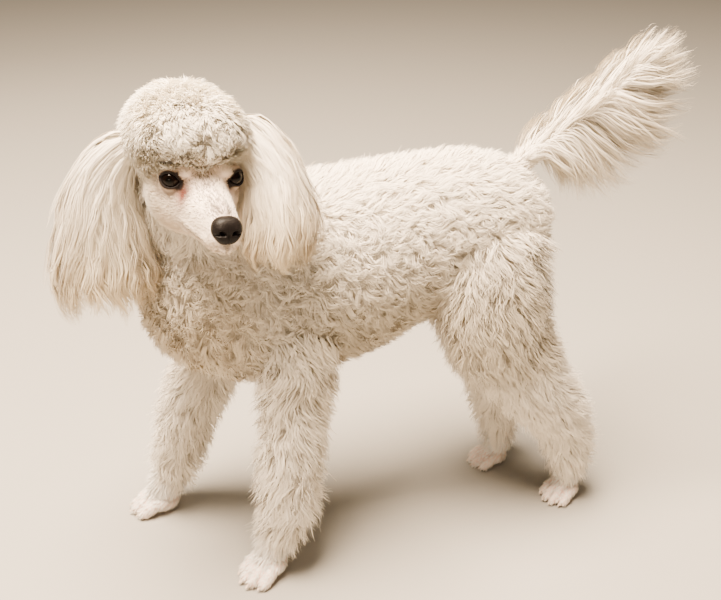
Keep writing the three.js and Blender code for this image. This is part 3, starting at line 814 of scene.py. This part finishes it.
def make_eyes():
    """Each eye: a ball with the cornea's bulge, coloured by the angle from its gaze."""
    b, a = crossed(np.linspace(0, np.pi, 60), turn_angles(64))
    r = EYE_RADIUS + 0.7 * hill(b, 0.45) - 0.5
    angle = b.ravel()
    edges = (("0f0704", 0.26, 0.36), ("0b0605", 0.55, 0.66), ("1c110d", 0.98, 1.12))
    colour = painted(srgb("040302"), [(shade, ease(angle, *edge)) for shade, *edge in edges])
    for side, middle in EYES.items():
        points = from_head(middle + toward(eye_frame(side), a, b) * r[..., None])
        quads = grid_quads(60, 64)[:, :: SIDES[side]]
        eye = make_mesh(f"eyeball_{side}", points, quads)
        set_tint(eye.data, colour)
        placed(eye, "eye", "eye", f"eye_{side}")


RIM_THICK = 0.85


def make_lid_rims():
    """The dark edge of the lids: a thin round bead along the almond opening."""
    a, c = crossed(turn_angles(96), turn_angles(10))
    for side, middle in EYES.items():
        axes = eye_frame(side)
        d = unit(toward(axes, a, lid_angle(a)))
        outward = np.cross(d, unit(np.cross(d, axes[2])))
        rise = EYE_RADIUS + 0.55 + RIM_THICK * np.cos(c)
        points = middle + d * rise[..., None] + outward * (RIM_THICK * np.sin(c))[..., None]
        count = points.size // 3
        rim = make_mesh(f"lid_rim_{side}", from_head(points), grid_quads(97, 10) % count)
        set_tint(rim.data, np.tile(srgb("140d0c"), (count, 1)), 0.0)
        placed(rim, "skin", "nose_leather")


NOSE_AT = np.array([MUZZLE_REACH - 9.1, 0, -28])
NOSE_RADII = np.array([9.6, 13.6, 12.4])
NOSE_SQUARE = 2.6
NOSTRIL_OUT = 5.6


def make_nose():
    """Nose leather: a rounded box with two comma nostrils and a cleft between them."""
    b, a = crossed(np.linspace(0, np.pi, 90), turn_angles(120))
    d = unit(np.stack([np.cos(b), np.cos(a) * np.sin(b), np.sin(a) * np.sin(b)], -1))
    box = d / (np.abs(d) ** NOSE_SQUARE).sum(-1, keepdims=True) ** (1 / NOSE_SQUARE)
    local = box * NOSE_RADII
    x, y, z = local[..., 0], local[..., 1], local[..., 2]
    front = ease(x, 0, 5)
    local[..., 1] *= 1 - 0.16 * ease(-z, 0, 10)
    sunk = 1.2 * hill(y, 0.9) * ease(-z, -3, 4) * front
    for sign in SIDES.values():
        beside = y - sign * NOSTRIL_OUT
        along = np.hypot(beside / 2.9, (z + 0.6 - 0.35 * sign * beside) / 2.1)
        slit = np.hypot((y - sign * 9.4) / 3.4, (z + 2.2) / 1.0)
        sunk = sunk + (5.2 * hill(along, 0.85) + 2.4 * hill(slit, 1.0)) * front
        sunk = sunk - 0.9 * hill(np.hypot(y - sign * 7.4, z - 2.4), 3.0) * front
    local[..., 0] -= sunk
    nose = make_mesh("nose_leather", from_head(local + NOSE_AT), grid_quads(90, 120)[:, ::-1])
    placed(nose, "nose", "nose_leather", "nose")


CLAW_ARC = 11.5
CLAW_RADIUS = 2.7
CLAW_DIP = 0.35  # angle of the claw's arc where it leaves the toe


def make_claws():
    """Sixteen claws: a round section that shrinks along an arc bent down from each toe."""
    parts = []
    s, a = crossed(np.linspace(0, 1, 14), turn_angles(12))
    bend = CLAW_DIP + 0.9 * s
    radius = CLAW_RADIUS * np.sqrt(np.clip(1 - s**2.4, 0, 1)) * mix(1.0, 0.75, s)
    path_y = -CLAW_ARC * (np.sin(bend) - np.sin(CLAW_DIP))
    path_z = -CLAW_ARC * (np.cos(CLAW_DIP) - np.cos(bend)) * 0.75
    for paw in PAWS.values():
        here = paw_frame(paw)
        for k in TOES:
            x = TOE_PITCH * k + radius * 0.8 * np.cos(a)
            y = toe_y(k) - 11.5 + path_y + radius * np.sin(a) * np.sin(bend)
            z = 9.8 + path_z + radius * np.sin(a) * np.cos(bend)
            parts.append((here(np.stack([x, y, np.maximum(z, 0.3)], -1)), grid_quads(14, 12)))
    claws = make_mesh("claws", *joined(parts))
    paws = [f"{end}_claw_{side}" for end in ("fore", "hind") for side in SIDES]
    placed(claws, "claw", "claw", *[f"{paw}_{i}" for paw in paws for i in range(1, 5)])


# Strands

PATCH = 0.003  # size of one tuft's patch on the unwrapped sheet
LOCK_SOFTNESS = 0.82  # share of a strip's shading that comes from its whole lock
EDGE_TURN = 0.18  # how far the shading turns outwards at a strip's two edges


def bake_place(form_index, t, angle):
    """A root's place on the unwrapped skin: each form is one cell of a 4 by 4 sheet."""
    cell = np.stack([form_index % 4, form_index // 4], -1) / 4
    inside = np.stack([(angle / (2 * np.pi)) % 1.0, np.clip(t, 0, 1)], -1)
    return cell + (0.02 + 0.96 * inside) / 4


def lock_normals(paths, surface, radius):
    """The way a round lock faces at each strand: surface sqrt(1 - r^2) + away r, where away is the
    way out from the lock's middle line and r the share of its radius, at most 0.9."""
    middle = paths.mean(1, keepdims=True)
    along = unit(np.gradient(middle, axis=2))
    away = paths - middle
    away = away - along * (away * along).sum(-1, keepdims=True)
    away = away - surface * np.minimum((away * surface).sum(-1, keepdims=True), 0)
    r = np.minimum(np.linalg.norm(away, axis=-1, keepdims=True) / radius, 0.9)
    return unit(surface * np.sqrt(1 - r * r) + unit(away) * r)


def clear_of_eyes(paths):
    """Which strands keep out of a short round space in front of each eye."""
    local = to_head(paths.reshape(-1, 3)).reshape(paths.shape)
    clear = np.ones(paths.shape[:2], bool)
    for side, middle in EYES.items():
        out = eye_frame(side)[2]
        away = local - middle
        ahead = away @ out
        beside = np.linalg.norm(away - ahead[..., None] * out, axis=-1)
        clear &= ~((ahead > 2) & (ahead < 30) & (beside < 9.5)).any(2)
    return clear


def ribbons(name, paths, surface, radius, width, bake, tints, near_eyes=False, soft=0.0):
    """Flat tapered strips, one a strand.

    paths is (tufts, strands, steps, 3), surface the body's own normal and radius a lock's. A strip
    faces the way its round lock does there. Its shading normals are mixed from its own and the
    lock's, so that a lock shades as one soft form, and from the body's by the share soft.
    """
    tufts, strands, steps, _ = paths.shape
    random = np.random.default_rng(len(name) + tufts)
    kept = clear_of_eyes(paths).ravel() if near_eyes else slice(None)
    lock = lock_normals(paths, surface, radius)
    out = lock + random.normal(0, 0.15, (tufts, strands, 1, 3))
    lock = unit(mix(lock, surface, soft))
    along = unit(np.gradient(paths, axis=2))
    side = unit(np.cross(along, out))
    face = unit(np.cross(side, along))
    half = (width / 2)[..., None] * side
    points = np.clip(np.stack([paths - half, paths + half], 3), BOX_LOW, BOX_HIGH)
    normals = unit(mix(face, lock, LOCK_SOFTNESS))
    normals = unit(np.stack([normals - EDGE_TURN * side, normals + EDGE_TURN * side], 3))
    first = (np.arange(tufts * strands) * steps * 2)[:, None, None]
    quads = (grid_quads(steps, 2, closed=False)[None] + first)[kept].reshape(-1, 4)
    piece = make_mesh(name, points, quads)
    mesh = piece.data
    attribute = mesh.attributes.new("custom_normal", "FLOAT_VECTOR", "POINT")
    attribute.data.foreach_set("vector", normals.astype(np.float32).ravel())
    u = (np.arange(strands) / strands)[None, :, None, None] + np.array([0, 0.6 / strands])
    v = np.linspace(0, 1, steps)[None, None, :, None]
    uv = np.stack(np.broadcast_arrays(u, v, np.zeros((tufts, 1, 1, 1)))[:2], -1)
    uv = (bake[:, None, None, None] + PATCH * (uv - 0.5)).reshape(-1, 2)
    layer = mesh.uv_layers.new(name="OFBake")
    corner = read(mesh.loops, "vertex_index", kind=np.int32)
    layer.data.foreach_set("uv", uv[corner].astype(np.float32).ravel())
    set_tint(mesh, np.broadcast_to(tints[..., None, :], points.shape).reshape(-1, 3))
    placed(piece, "coat", "coat")


def thinned(keep, places, spacing, random):
    """The rows of the places to keep, one in each cell of a grid, so that they lie evenly."""
    rows = np.flatnonzero(keep)
    order = rows[random.permutation(len(rows))]
    cells = np.floor(places[order] / spacing).astype(np.int64)
    key = (cells[:, 0] * 4001 + cells[:, 1]) * 4001 + cells[:, 2]
    return order[np.unique(key, return_index=True)[1]]


def sampled(mesh, count, random):
    """Random places on a mesh, evenly by area, with the normals there."""
    quads, points, normals = quads_of(mesh), points_of(mesh), normals_of(mesh)
    a, b, c, d = (points[quads[:, k]] for k in range(4))
    area = np.linalg.norm(np.cross(c - a, d - b), axis=1) / 2
    corners = quads[random.choice(len(quads), count, p=area / area.sum())]
    u, v = random.random((2, count, 1))
    weights = [(1 - u) * (1 - v), u * (1 - v), u * v, (1 - u) * v]
    place = sum(w * points[corners[:, k]] for k, w in enumerate(weights))
    return place, unit(sum(w * normals[corners[:, k]] for k, w in enumerate(weights)))


# The lie of the coat on each form: along its path forwards or back, and how far gravity bends it
LIE = {name: (1, 0.4) for name in LEGS}
LIE.update(trunk=(1, 0.5), neck=(-1, 0.3), topknot=(-1, 0.0), skull=(-1, 0.1), tail=(1, 0.2))
CROWN = np.array([-52.0, -4.0, 40.0])  # the topknot's hair lies away from here, in the head frame


def owners(places, names, random, blur=3.0):
    """The form that each place belongs to, the nearest one, with place along, angle, lie and the
    form's number."""
    found = [FORMS[name].nearest(places, -SKIN_DEPTH[name]) for name in names]
    apart = np.stack([np.abs(f[2]) for f in found])
    best = (apart + blur * random.random(apart.shape)).argmin(0)
    rows = np.arange(len(places))
    t, angle = (np.stack([f[k] for f in found])[best, rows] for k in (0, 1))
    lie = np.zeros((len(places), 3))
    index = np.zeros(len(places), int)
    for k, name in enumerate(names):
        here = best == k
        sign, sag = LIE[name]
        lie[here] = sign * FORMS[name].ring(t[here])[1] - sag * Z_AXIS
        if name == "topknot":
            lie[here] = places[here] - from_head(CROWN)
        index[here] = FORM_NAMES.index(name)
    return best, t, angle, lie, index


def flattened(lie, normals):
    """The lie with its share along the normals taken out."""
    return unit(lie - normals * (lie * normals).sum(1, keepdims=True))


def swept(lie, normals, turn):
    """The lie turned about the normals: lie cos + (normal x lie) sin."""
    turn = turn[:, None]
    return unit(lie * np.cos(turn) + np.cross(normals, lie) * np.sin(turn))


def lean_paths(root, normal, lie, length, start, end, bend_from, steps):
    """A tuft's middle line: its direction, normal cos(a) + lie sin(a), summed up along its length.
    a goes from start to end, eased from bend_from on."""
    knots = np.linspace(0, 1, steps) ** 0.85
    u = (knots[1:] + knots[:-1]) / 2
    share = ease(u[None], bend_from[:, None], 1.0)
    a = mix(start[:, None], end[:, None], share)[..., None]
    direction = normal[:, None] * np.cos(a) + lie[:, None] * np.sin(a)
    moves = direction * (length[:, None] * np.diff(knots))[..., None]
    return np.concatenate([root[:, None], root[:, None] + np.cumsum(moves, 1)], 1)


STRAY_SHARE = 0.04
STRAY_DRIFT = 1.3


def strand_paths(middle, normal, lie, spread, strands, pinch, fray, random):
    """Strands round each tuft's middle line. A strand keeps its offset from the line, drawn in by
    pinch towards the tip, plus a random drift that grows as u^1.5, more for the few stray ones."""
    tufts, steps, _ = middle.shape
    each = (tufts, strands, 1, 1)
    across = unit(np.cross(normal, lie))
    radius = spread * np.sqrt(random.random((tufts, strands)))
    turn = 2 * np.pi * random.random((tufts, strands))
    offset = lie[:, None] * (radius * np.cos(turn))[..., None]
    offset = offset + across[:, None] * (radius * np.sin(turn))[..., None]
    u = np.linspace(0, 1, steps)[:, None]
    stray = 1 + STRAY_DRIFT * (random.random(each) < STRAY_SHARE)
    drift = random.normal(0, 1, (tufts, strands, 1, 3)) * fray * stray * u**1.5
    stretch = 1 + 0.22 * (random.random(each) - 0.6)
    body = (middle - middle[:, :1])[:, None] * stretch
    return middle[:, None, :1] + body + offset[:, :, None] * (1 - pinch * u**0.8) + drift


def short_hair(places, normals, lie, length, lean, rise, spread, fray, random):
    """Two strands a root, leaning by lean at first and by rise more at the tip."""
    bend = lean * 0 + 0.1
    middle = lean_paths(places, normals, lie, length, lean, lean + rise, bend, SHORT_STEPS)
    return strand_paths(middle, normals, lie, spread, 2, 0.2, fray, random)


def taper(steps, full, tip=0.16):
    """Width along a strand: full over most of it, narrowing over the last half."""
    u = np.linspace(0, 1, steps)
    return full * (mix(1.0, tip, ease(u, 0.45, 1.0)) * mix(0.75, 1.0, ease(u, 0, 0.25)))


def tones(random, tufts, strands, low, lower):
    """Brightness of each strand: a random share for its tuft times one for itself."""
    tuft = random.uniform(low, 1.0, (tufts, 1, 1, 1))
    return tuft * random.uniform(lower, 1.0, (tufts, strands, 1, 1))


def drifting(places, size, random):
    """A smooth random number from about -1 to 1: the mean of sines in random directions, whose
    waves are about four sizes long."""
    total = np.zeros(len(places))
    waves = 7
    for _ in range(waves):
        way = unit(random.normal(0, 1, 3)) * random.uniform(0.7, 1.4) * (2 * np.pi / (4 * size))
        total += np.sin(places @ way + 2 * np.pi * random.random())
    return total * (1.6 / waves)


# Coat

# Places tried for roots, before they are thinned to one in each cell
BODY_ROOTS = 60000
FACE_ROOTS = 26000
FOOT_ROOTS = 6000

SHORT_STEPS = 4
SHORT_RADIUS = 4.0
PIECE_LIMIT = 190000  # triangles in one piece of the coat
PASTERN = 37  # the leg's long hair ends at this height
CLIPPED_TAIL = 0.5  # the clipped part of the tail, as a share of its length

# spacing, strands and spread of a tuft; length; first and last lean; fray, pinch and width of its
# strands; steps; swirl of the lie and its patches' size; curl and its turns; share of soft shading
STYLE_KEYS = (
    "spacing", "strands", "spread", "length", "start", "end", "fray", "pinch", "width", "steps",
    "swirl", "patch", "curl", "turns", "soft",
)
STYLE_ROWS = {
    "trunk": (6.4, 9, 4.0, 17, 0.45, 1.2, 1.1, 0.15, 0.88, 5, 2.1, 7.5, 1.9, 1.1, 0.45),
    "neck": (6.0, 9, 4.2, 19, 0.45, 1.2, 1.3, 0.05, 0.85, 5, 1.6, 10, 1.6, 1.1, 0.45),
    "topknot": (2.9, 9, 2.7, 14, 0.42, 1.2, 0.7, -0.1, 0.82, 4, 0.8, 6, 0.6, 1.0, 0.95),
    "legs": (8.4, 11, 5.6, 27, 0.4, 1.08, 2.2, -0.05, 0.95, 5, 0.9, 12, 1.9, 1.1, 0.7),
    "tail": (5.0, 9, 3.0, 12, 0.5, 1.1, 1.0, 0.0, 0.85, 5, 1.2, 8, 1.0, 1.0, 0.4),
}
COAT_STYLES = {part: dict(zip(STYLE_KEYS, row)) for part, row in STYLE_ROWS.items()}


def style_coat(name, style, places, normals, owner, random):
    """The tufts of one region, their tips near the form's own surface. The lie swirls in patches,
    less on the smooth back, and a tuft's middle line curls: across sin(phase) + 0.6 normal cos."""
    t, angle, lie, index = owner
    count, steps, strands, patch = len(places), style["steps"], style["strands"], style["patch"]
    calm = 1 - 0.65 * ease(places[:, 2], 395, 465) * (places[:, 1] > -20)
    lie = flattened(lie, normals)
    across = np.cross(normals, lie)[:, None]
    turn = drifting(places, patch, random) + random.uniform(-0.3, 0.3, count)
    lie = swept(lie, normals, style["swirl"] * calm * turn)
    length = style["length"] * random.uniform(0.85, 1.1, count)
    end = style["end"] * (1 + 0.12 * drifting(places, patch * 0.6, random))
    start = style["start"] * random.uniform(0.6, 1.3, count)
    bend = 0.1 * random.uniform(0.6, 1.3, count)
    middle = lean_paths(places - normals * 2.0, normals, lie, length, start, end, bend, steps)
    u = np.linspace(0, 1, steps)[None]
    phase = style["turns"] * u + 0.5 * drifting(places, patch * 0.7, random)[:, None]
    phase = (2 * np.pi * (phase + 0.15 * random.random((count, 1))))[..., None]
    curl = (style["curl"] * calm[:, None] * ease(u, 0, 0.35))[..., None]
    middle = middle + curl * (across * np.sin(phase) + 0.6 * normals[:, None] * np.cos(phase))
    shape = (style["spread"], strands, style["pinch"], style["fray"])
    paths = strand_paths(middle, normals, lie, *shape, random)
    width = taper(steps, style["width"]) * random.uniform(0.75, 1.25, (count, strands, 1))
    tone = tones(random, count, strands, 0.93, 0.96)
    colour = coat_colour(places)
    topknot = "topknot" in name
    if topknot:
        # painted light: the topknot's hair made paler to make up for the shade between its strands
        colour = mix(colour, srgb("fff7e6"), 0.85)
    tints = colour[:, None, None] * tone
    surface, radius = normals[:, None, None], style["spread"] * 1.1
    bake = bake_place(index, t, angle)
    ribbons(name, paths, surface, radius, width, bake, tints, topknot, style["soft"])


def body_coat(mesh):
    """Tufts over the body's skin, region by region, left out on the feet and under the plume."""
    random = np.random.default_rng(SEED)
    places, normals = sampled(mesh, BODY_ROOTS, random)
    names = ["trunk", "neck", "topknot", "skull", *LEGS, "tail"]
    best, *owner = owners(places, names, random)
    region = np.array(["legs" if n in LEGS else n for n in names])[best]
    for part, style in COAT_STYLES.items():
        keep = (region == part) & (places[:, 2] > PASTERN)
        if part == "tail":
            keep &= owner[0] < CLIPPED_TAIL
        rows = thinned(keep, places, style["spacing"] * 0.93, random)
        triangles = len(rows) * style["strands"] * 2 * (style["steps"] - 1)
        order = rows[np.argsort(places[rows, 1 if part in ("trunk", "legs") else 2])]
        pieces = np.array_split(order, int(np.ceil(triangles / PIECE_LIMIT)))
        for k, some in enumerate(pieces, 1):
            here = [values[some] for values in owner]
            style_coat(f"coat_{part}_{k}", style, places[some], normals[some], here, random)


def face_hair(mesh):
    """Short hair on the clipped face, lying back from the nose, left out at eyes, lips and nose. It
    is longer on the cheeks, shorter round the eyes, and some strands are grey on nose and stop."""
    random = np.random.default_rng(SEED + 1)
    places, normals = sampled(mesh, FACE_ROOTS, random)
    local = to_head(places)
    gap, opened = mouth_distance(places)
    keep = (local[:, 0] > -60) & ~((np.abs(gap) < 1.7) & (opened > 0.5))
    keep &= distance_to(local, (MUZZLE_REACH - 8, 0, -28)) > 13.5
    for side, middle in EYES.items():
        keep &= (past_lids(local, side)[0] > 0.2) | (distance_to(local, middle) > 17.0)
    keep &= FORMS["topknot"].nearest(places, -14)[2] > -4
    rows = thinned(keep, places, 1.85, random)
    places, normals, local = places[rows], normals[rows], local[rows]
    count = len(rows)
    _, t, angle, lie, index = owners(places, ["skull"], random)
    lie = swept(flattened(lie, normals), normals, random.uniform(-0.35, 0.35, count))
    length = mix(4.5, 9.0, ease(-local[:, 0], -20, 40)) * random.uniform(0.8, 1.2, count)
    for side, middle in EYES.items():
        reach = mix(18.0, 24.0, past_lids(local, side)[1])
        from_lid = (distance_to(local, middle) - 12.5) / (reach - 12.5)
        length *= mix(0.4, 1.0, ease(from_lid, 0, 1))
    lean = np.full(count, 1.12)
    roots = places - normals * 0.5
    paths = short_hair(roots, normals, lie, length, lean, 0.35, 0.9, 0.3, random)
    each = paths.shape[:2]
    tints = coat_colour(places)[:, None, None] * random.uniform(0.9, 1.0, (*each, 1, 1))
    streaked = 0.75 * hill(distance_to(local, (68, -2, -13), (0.5, 1, 1)), 12)
    streaked += 0.6 * hill(distance_to(local, (24, -4, 0), (0.5, 0.8, 1)), 12)
    grey = random.random(each) < streaked[:, None]
    tints = np.where(grey[..., None, None], srgb("786c63"), tints)
    width, bake = taper(SHORT_STEPS, 0.75), bake_place(index, t, angle)
    ribbons("coat_face", paths, normals[:, None, None], SHORT_RADIUS, width, bake, tints, True)


def foot_hair(meshes):
    """The shortest hair, on the shaved feet, lying down and forwards towards the claws."""
    random = np.random.default_rng(SEED + 2)
    roots = []
    for mesh in meshes:
        places, normals = sampled(mesh, FOOT_ROOTS, random)
        keep = (places[:, 2] > 5) & (places[:, 2] < 62)
        rows = thinned(keep, places, 2.7, random)
        roots.append((places[rows], normals[rows]))
    places, normals = (np.concatenate(values) for values in zip(*roots))
    height = places[:, 2]
    lie = flattened(np.tile(np.array([0.15, -0.8, -1.0]), (len(places), 1)), normals)
    shin = ease(height, 20, 42)
    length = mix(4.6, 15.0, shin) * random.uniform(0.75, 1.2, len(places))
    roots = places - normals * 0.4
    lean = mix(1.05, 0.75, shin)
    paths = short_hair(roots, normals, lie, length, lean, 0.3, 1.0, 0.5, random)
    tints = mix(srgb("f0e6da"), srgb("f8f3ea"), ease(height, 6, 24)[:, None])[:, None, None]
    tints = tints * random.uniform(0.88, 1.0, (*paths.shape[:2], 1, 1))
    names = ["fore_left", "fore_right", "shank_left", "shank_right"]
    _, t, angle, _, index = owners(places, names, random)
    width, bake = taper(SHORT_STEPS, 0.95), bake_place(index, t, angle)
    ribbons("coat_feet", paths, normals[:, None, None], SHORT_RADIUS, width, bake, tints)


LOCK_RADIUS = 7.0


def ear_hair(side, locks=515, strands=14, steps=8):
    """Long silky locks down an ear. A strand stays on the ear's form: its place along, angle round
    and share of the radius are each a function of u, from the flap outwards and then down."""
    form = FORMS[f"ear_{side}"]
    random = np.random.default_rng(SEED + (3 if side == "left" else 4))
    lock, strand = (locks, 1, 1), (locks, strands, 1)
    u = np.linspace(0, 1, steps)[None, None]
    start = 0.62 * random.random(lock) ** 1.35
    angle = 2 * np.pi * random.random(lock)
    reach = random.uniform(0.34, 0.56, lock)
    last = random.uniform(0.90, 1.0, lock)
    end = np.minimum(start + reach, last) - 0.05 * random.random(strand)
    t = mix(start + 0.02 * random.random(strand), end, u)
    along, around = start[:, 0, 0], angle[:, 0, 0]
    layer = random.uniform(0.70, 1.0, lock) ** 0.7
    phase = random.random(lock) * 0.35
    phase = 1.6 * u + phase + drifting(form.point(along, around), 30, random)[:, None, None]
    share = mix(0.36, layer, ease(u, 0, 0.34)) + random.normal(0, 0.035, strand) * u
    share = share + 0.16 * (random.random(lock) < 0.14) * ease(u, 0.3, 1)
    share = share + 0.05 * np.sin(2 * np.pi * (phase + 0.25)) * u
    offset = random.uniform(-0.17, 0.17, strand) * (1 - 0.45 * u)
    turn = angle + 0.11 * np.sin(2 * np.pi * phase) * u + offset
    turn = turn + random.normal(0, 0.035, strand) * u**2
    paths = form.point(np.clip(t, 0, 1), turn, 0.0, np.minimum(share, 1.16), domed=False)
    rise = unit(form.point(t, turn, 0.0, share + 0.2, domed=False) - paths)
    width = taper(steps, 1.1, 0.1) * random.uniform(0.7, 1.2, strand)
    tone = tones(random, locks, strands, 0.86, 0.92)
    base = mix(srgb("f8eedc"), srgb("e4d0ac"), ease(t, 0.3, 0.95)[..., None])
    bake = bake_place(np.full(locks, FORM_NAMES.index(f"ear_{side}")), along, around)
    ribbons(f"coat_ear_{side}", paths, rise, LOCK_RADIUS, width, bake, base * tone)


# The fan's edge, from under the tail's bare part to its top
PLUME_EDGE = np.array(
    [
        (0, 368, 418), (0, 392, 392), (0, 438, 390), (0, 486, 424),
        (0, 516, 470), (0, 527, 515), (0, 520, 558), (0, 505, 588),
    ],
    float,
)
PLUME_SPREAD = 22
CREST_SHARE = 0.2  # locks that stay short, on top of the shaft


def plume_hair(locks=430, strands=15, steps=9):
    """The tail's plume: locks that run up over the shaft, sweep back to the fan's edge and curl up.
    point(u) is the cubic Bezier curve of root, a place over the shaft, one before the tip, and tip,
    plus sideways spread sin(2u) and a wave."""
    random = np.random.default_rng(SEED + 5)
    one, lock, strand = (locks, 1), (locks, 1, 1), (locks, strands, 1)
    share = random.random(locks)
    root, along, *_ = FORMS["tail"].ring(mix(0.30, 0.98, share))
    rise = np.cross(X_AXIS, along)
    tip = spline(PLUME_EDGE, share**0.95)
    tip = mix(root + along * 20, tip, random.uniform(0.6, 1.0, one))
    crest = (random.random(locks) < CREST_SHARE)[:, None]
    short = root + along * random.uniform(34, 62, one) + rise * random.uniform(10, 22, one)
    tip = np.where(crest, short, tip)
    curl = mix(-100, 38, ease(share, 0.05, 0.55)) + random.uniform(-28, 28, locks)
    curl = np.radians(curl)[:, None]
    last = Y_AXIS * np.cos(curl) + Z_AXIS * np.sin(curl)
    over = root + along * random.uniform(18, 36, one) + rise * random.uniform(6, 24, one)
    before = np.where(crest, mix(over, tip, 0.5), tip - last * random.uniform(22, 42, one))
    side = random.uniform(-1, 1, lock)
    u = np.linspace(0, 1, steps)[None, None, :]
    s = (u * random.uniform(0.86, 1.0, strand))[..., None]
    root, over, before, tip = (p[:, None, None] for p in (root, over, before, tip))
    paths = (1 - s) ** 3 * root + 3 * s * (1 - s) ** 2 * over
    paths = paths + 3 * s**2 * (1 - s) * before + s**3 * tip
    wave = 5.5 * np.sin(2 * np.pi * (1.3 * u + random.random(lock))) * u
    stray = 1 + 1.8 * (random.random(strand) < 0.06)
    paths[..., 2] += wave * 0.8 + random.normal(0, 2.4, strand) * u * stray
    paths[..., 1] += wave * 0.5 + random.normal(0, 2.4, strand) * u * stray
    fan = side * (9 * (1 - u) + PLUME_SPREAD * np.sin(2 * u))
    paths[..., 0] += fan + random.normal(0, 1.8, strand) * u
    spread = random.normal(0, 3.0, (*strand, 3)) * (1 - 0.35 * u[..., None])
    paths = paths + spread * ease(u, 0, 0.12)[..., None]
    out = X_AXIS * side[..., None] * 1.4 + 0.5 * Z_AXIS + Y_AXIS * (0.3 + 1.1 * u**2)[..., None]
    width = taper(steps, 1.15, 0.08) * random.uniform(0.6, 1.2, strand)
    tone = tones(random, locks, strands, 0.88, 0.93)
    base = mix(srgb("faf0df"), srgb("f1e4cc"), ease(u, 0.3, 1.0)[..., None])
    around = 2 * np.pi * random.random(locks)
    bake = bake_place(np.full(locks, FORM_NAMES.index("tail")), share, around)
    ribbons("coat_plume", paths, unit(out), LOCK_RADIUS, width, bake, base * tone)


FLESH = [
    "torso", "neck", "head", "ear_left", "ear_right", "tail", "fore_leg_left", "fore_leg_right",
    "thigh_left", "thigh_right", "hind_leg_left", "hind_leg_right", "fore_paw_left",
    "fore_paw_right", "hind_paw_left", "hind_paw_right",
]

skin, (body, head, *feet) = make_skin()
placed(skin, "skin", "paw_skin", *FLESH)
make_eyes()
make_lid_rims()
make_nose()
make_claws()
body_coat(body)
face_hair(head)
foot_hair(feet)
ear_hair("left")
ear_hair("right")
plume_hair()


# Floor, light and camera

FLOOR_HALF = 6.0
PHOTO_WIDTH = 721
FOCAL_PIXELS = 950
CAMERA_AT = np.array([925.0, -204.0, 808.0])
CAMERA_LOOKS = np.array([-0.8417, 0.2898, -0.4555])


def add_object(name, data, place=(0, 0, 0), looks=None):
    """Adds an object, turned so that its own -Z looks that way."""
    added = bpy.data.objects.new(name, data)
    bpy.context.scene.collection.objects.link(added)
    added.location = place
    if looks is not None:
        added.rotation_mode = "QUATERNION"
        added.rotation_quaternion = Vector(looks).to_track_quat("-Z", "Y")
    return added


def make_floor():
    """A plain pale floor."""
    mesh = bpy.data.meshes.new("floor")
    signs = ((-1, -1), (1, -1), (1, 1), (-1, 1))
    mesh.from_pydata([(x * FLOOR_HALF, y * FLOOR_HALF, 0) for x, y in signs], [], [(0, 1, 2, 3)])
    material, _, shader = new_material("pale_floor", Roughness=0.9)
    shader.inputs["Base Color"].default_value = (*srgb("98948d"), 1)
    mesh.materials.append(material)
    add_object("floor", mesh)


def add_light(name, place, size, power, colour):
    """A round lamp that shines at the dog's middle."""
    light = bpy.data.lights.new(name, "AREA")
    light.shape = "DISK"
    light.size = size
    light.energy = power
    light.color = srgb(colour)
    add_object(name, light, place, unit(np.array([0, 0, 0.3]) - np.array(place)))


def light_scene():
    """Soft studio light: a broad warm key from above, two weak fills and an even sky."""
    add_light("key", (0.2, -0.6, 2.65), 1.6, 820, "ffe6c8")
    add_light("fill", (2.2, -1.6, 1.2), 0.9, 18, "ffe8cc")
    add_light("side", (-2.0, -0.8, 1.4), 1.8, 14, "ffe8cc")
    world = bpy.data.worlds.new("studio")
    world.use_nodes = True
    sky = world.node_tree.nodes["Background"].inputs
    sky["Color"].default_value = (*srgb("f4dfc0"), 1)
    sky["Strength"].default_value = 0.27
    bpy.context.scene.world = world


def make_camera():
    """The photograph's viewpoint: above and to the dog's left front, looking down 27 degrees."""
    data = bpy.data.cameras.new("camera")
    data.sensor_fit = "HORIZONTAL"
    data.sensor_width = 36
    data.lens = FOCAL_PIXELS / PHOTO_WIDTH * data.sensor_width
    data.clip_start = 0.01
    camera = add_object("camera", data, (CAMERA_AT + SHIFT) * MM, CAMERA_LOOKS)
    bpy.context.scene.camera = camera


make_floor()
light_scene()
make_camera()
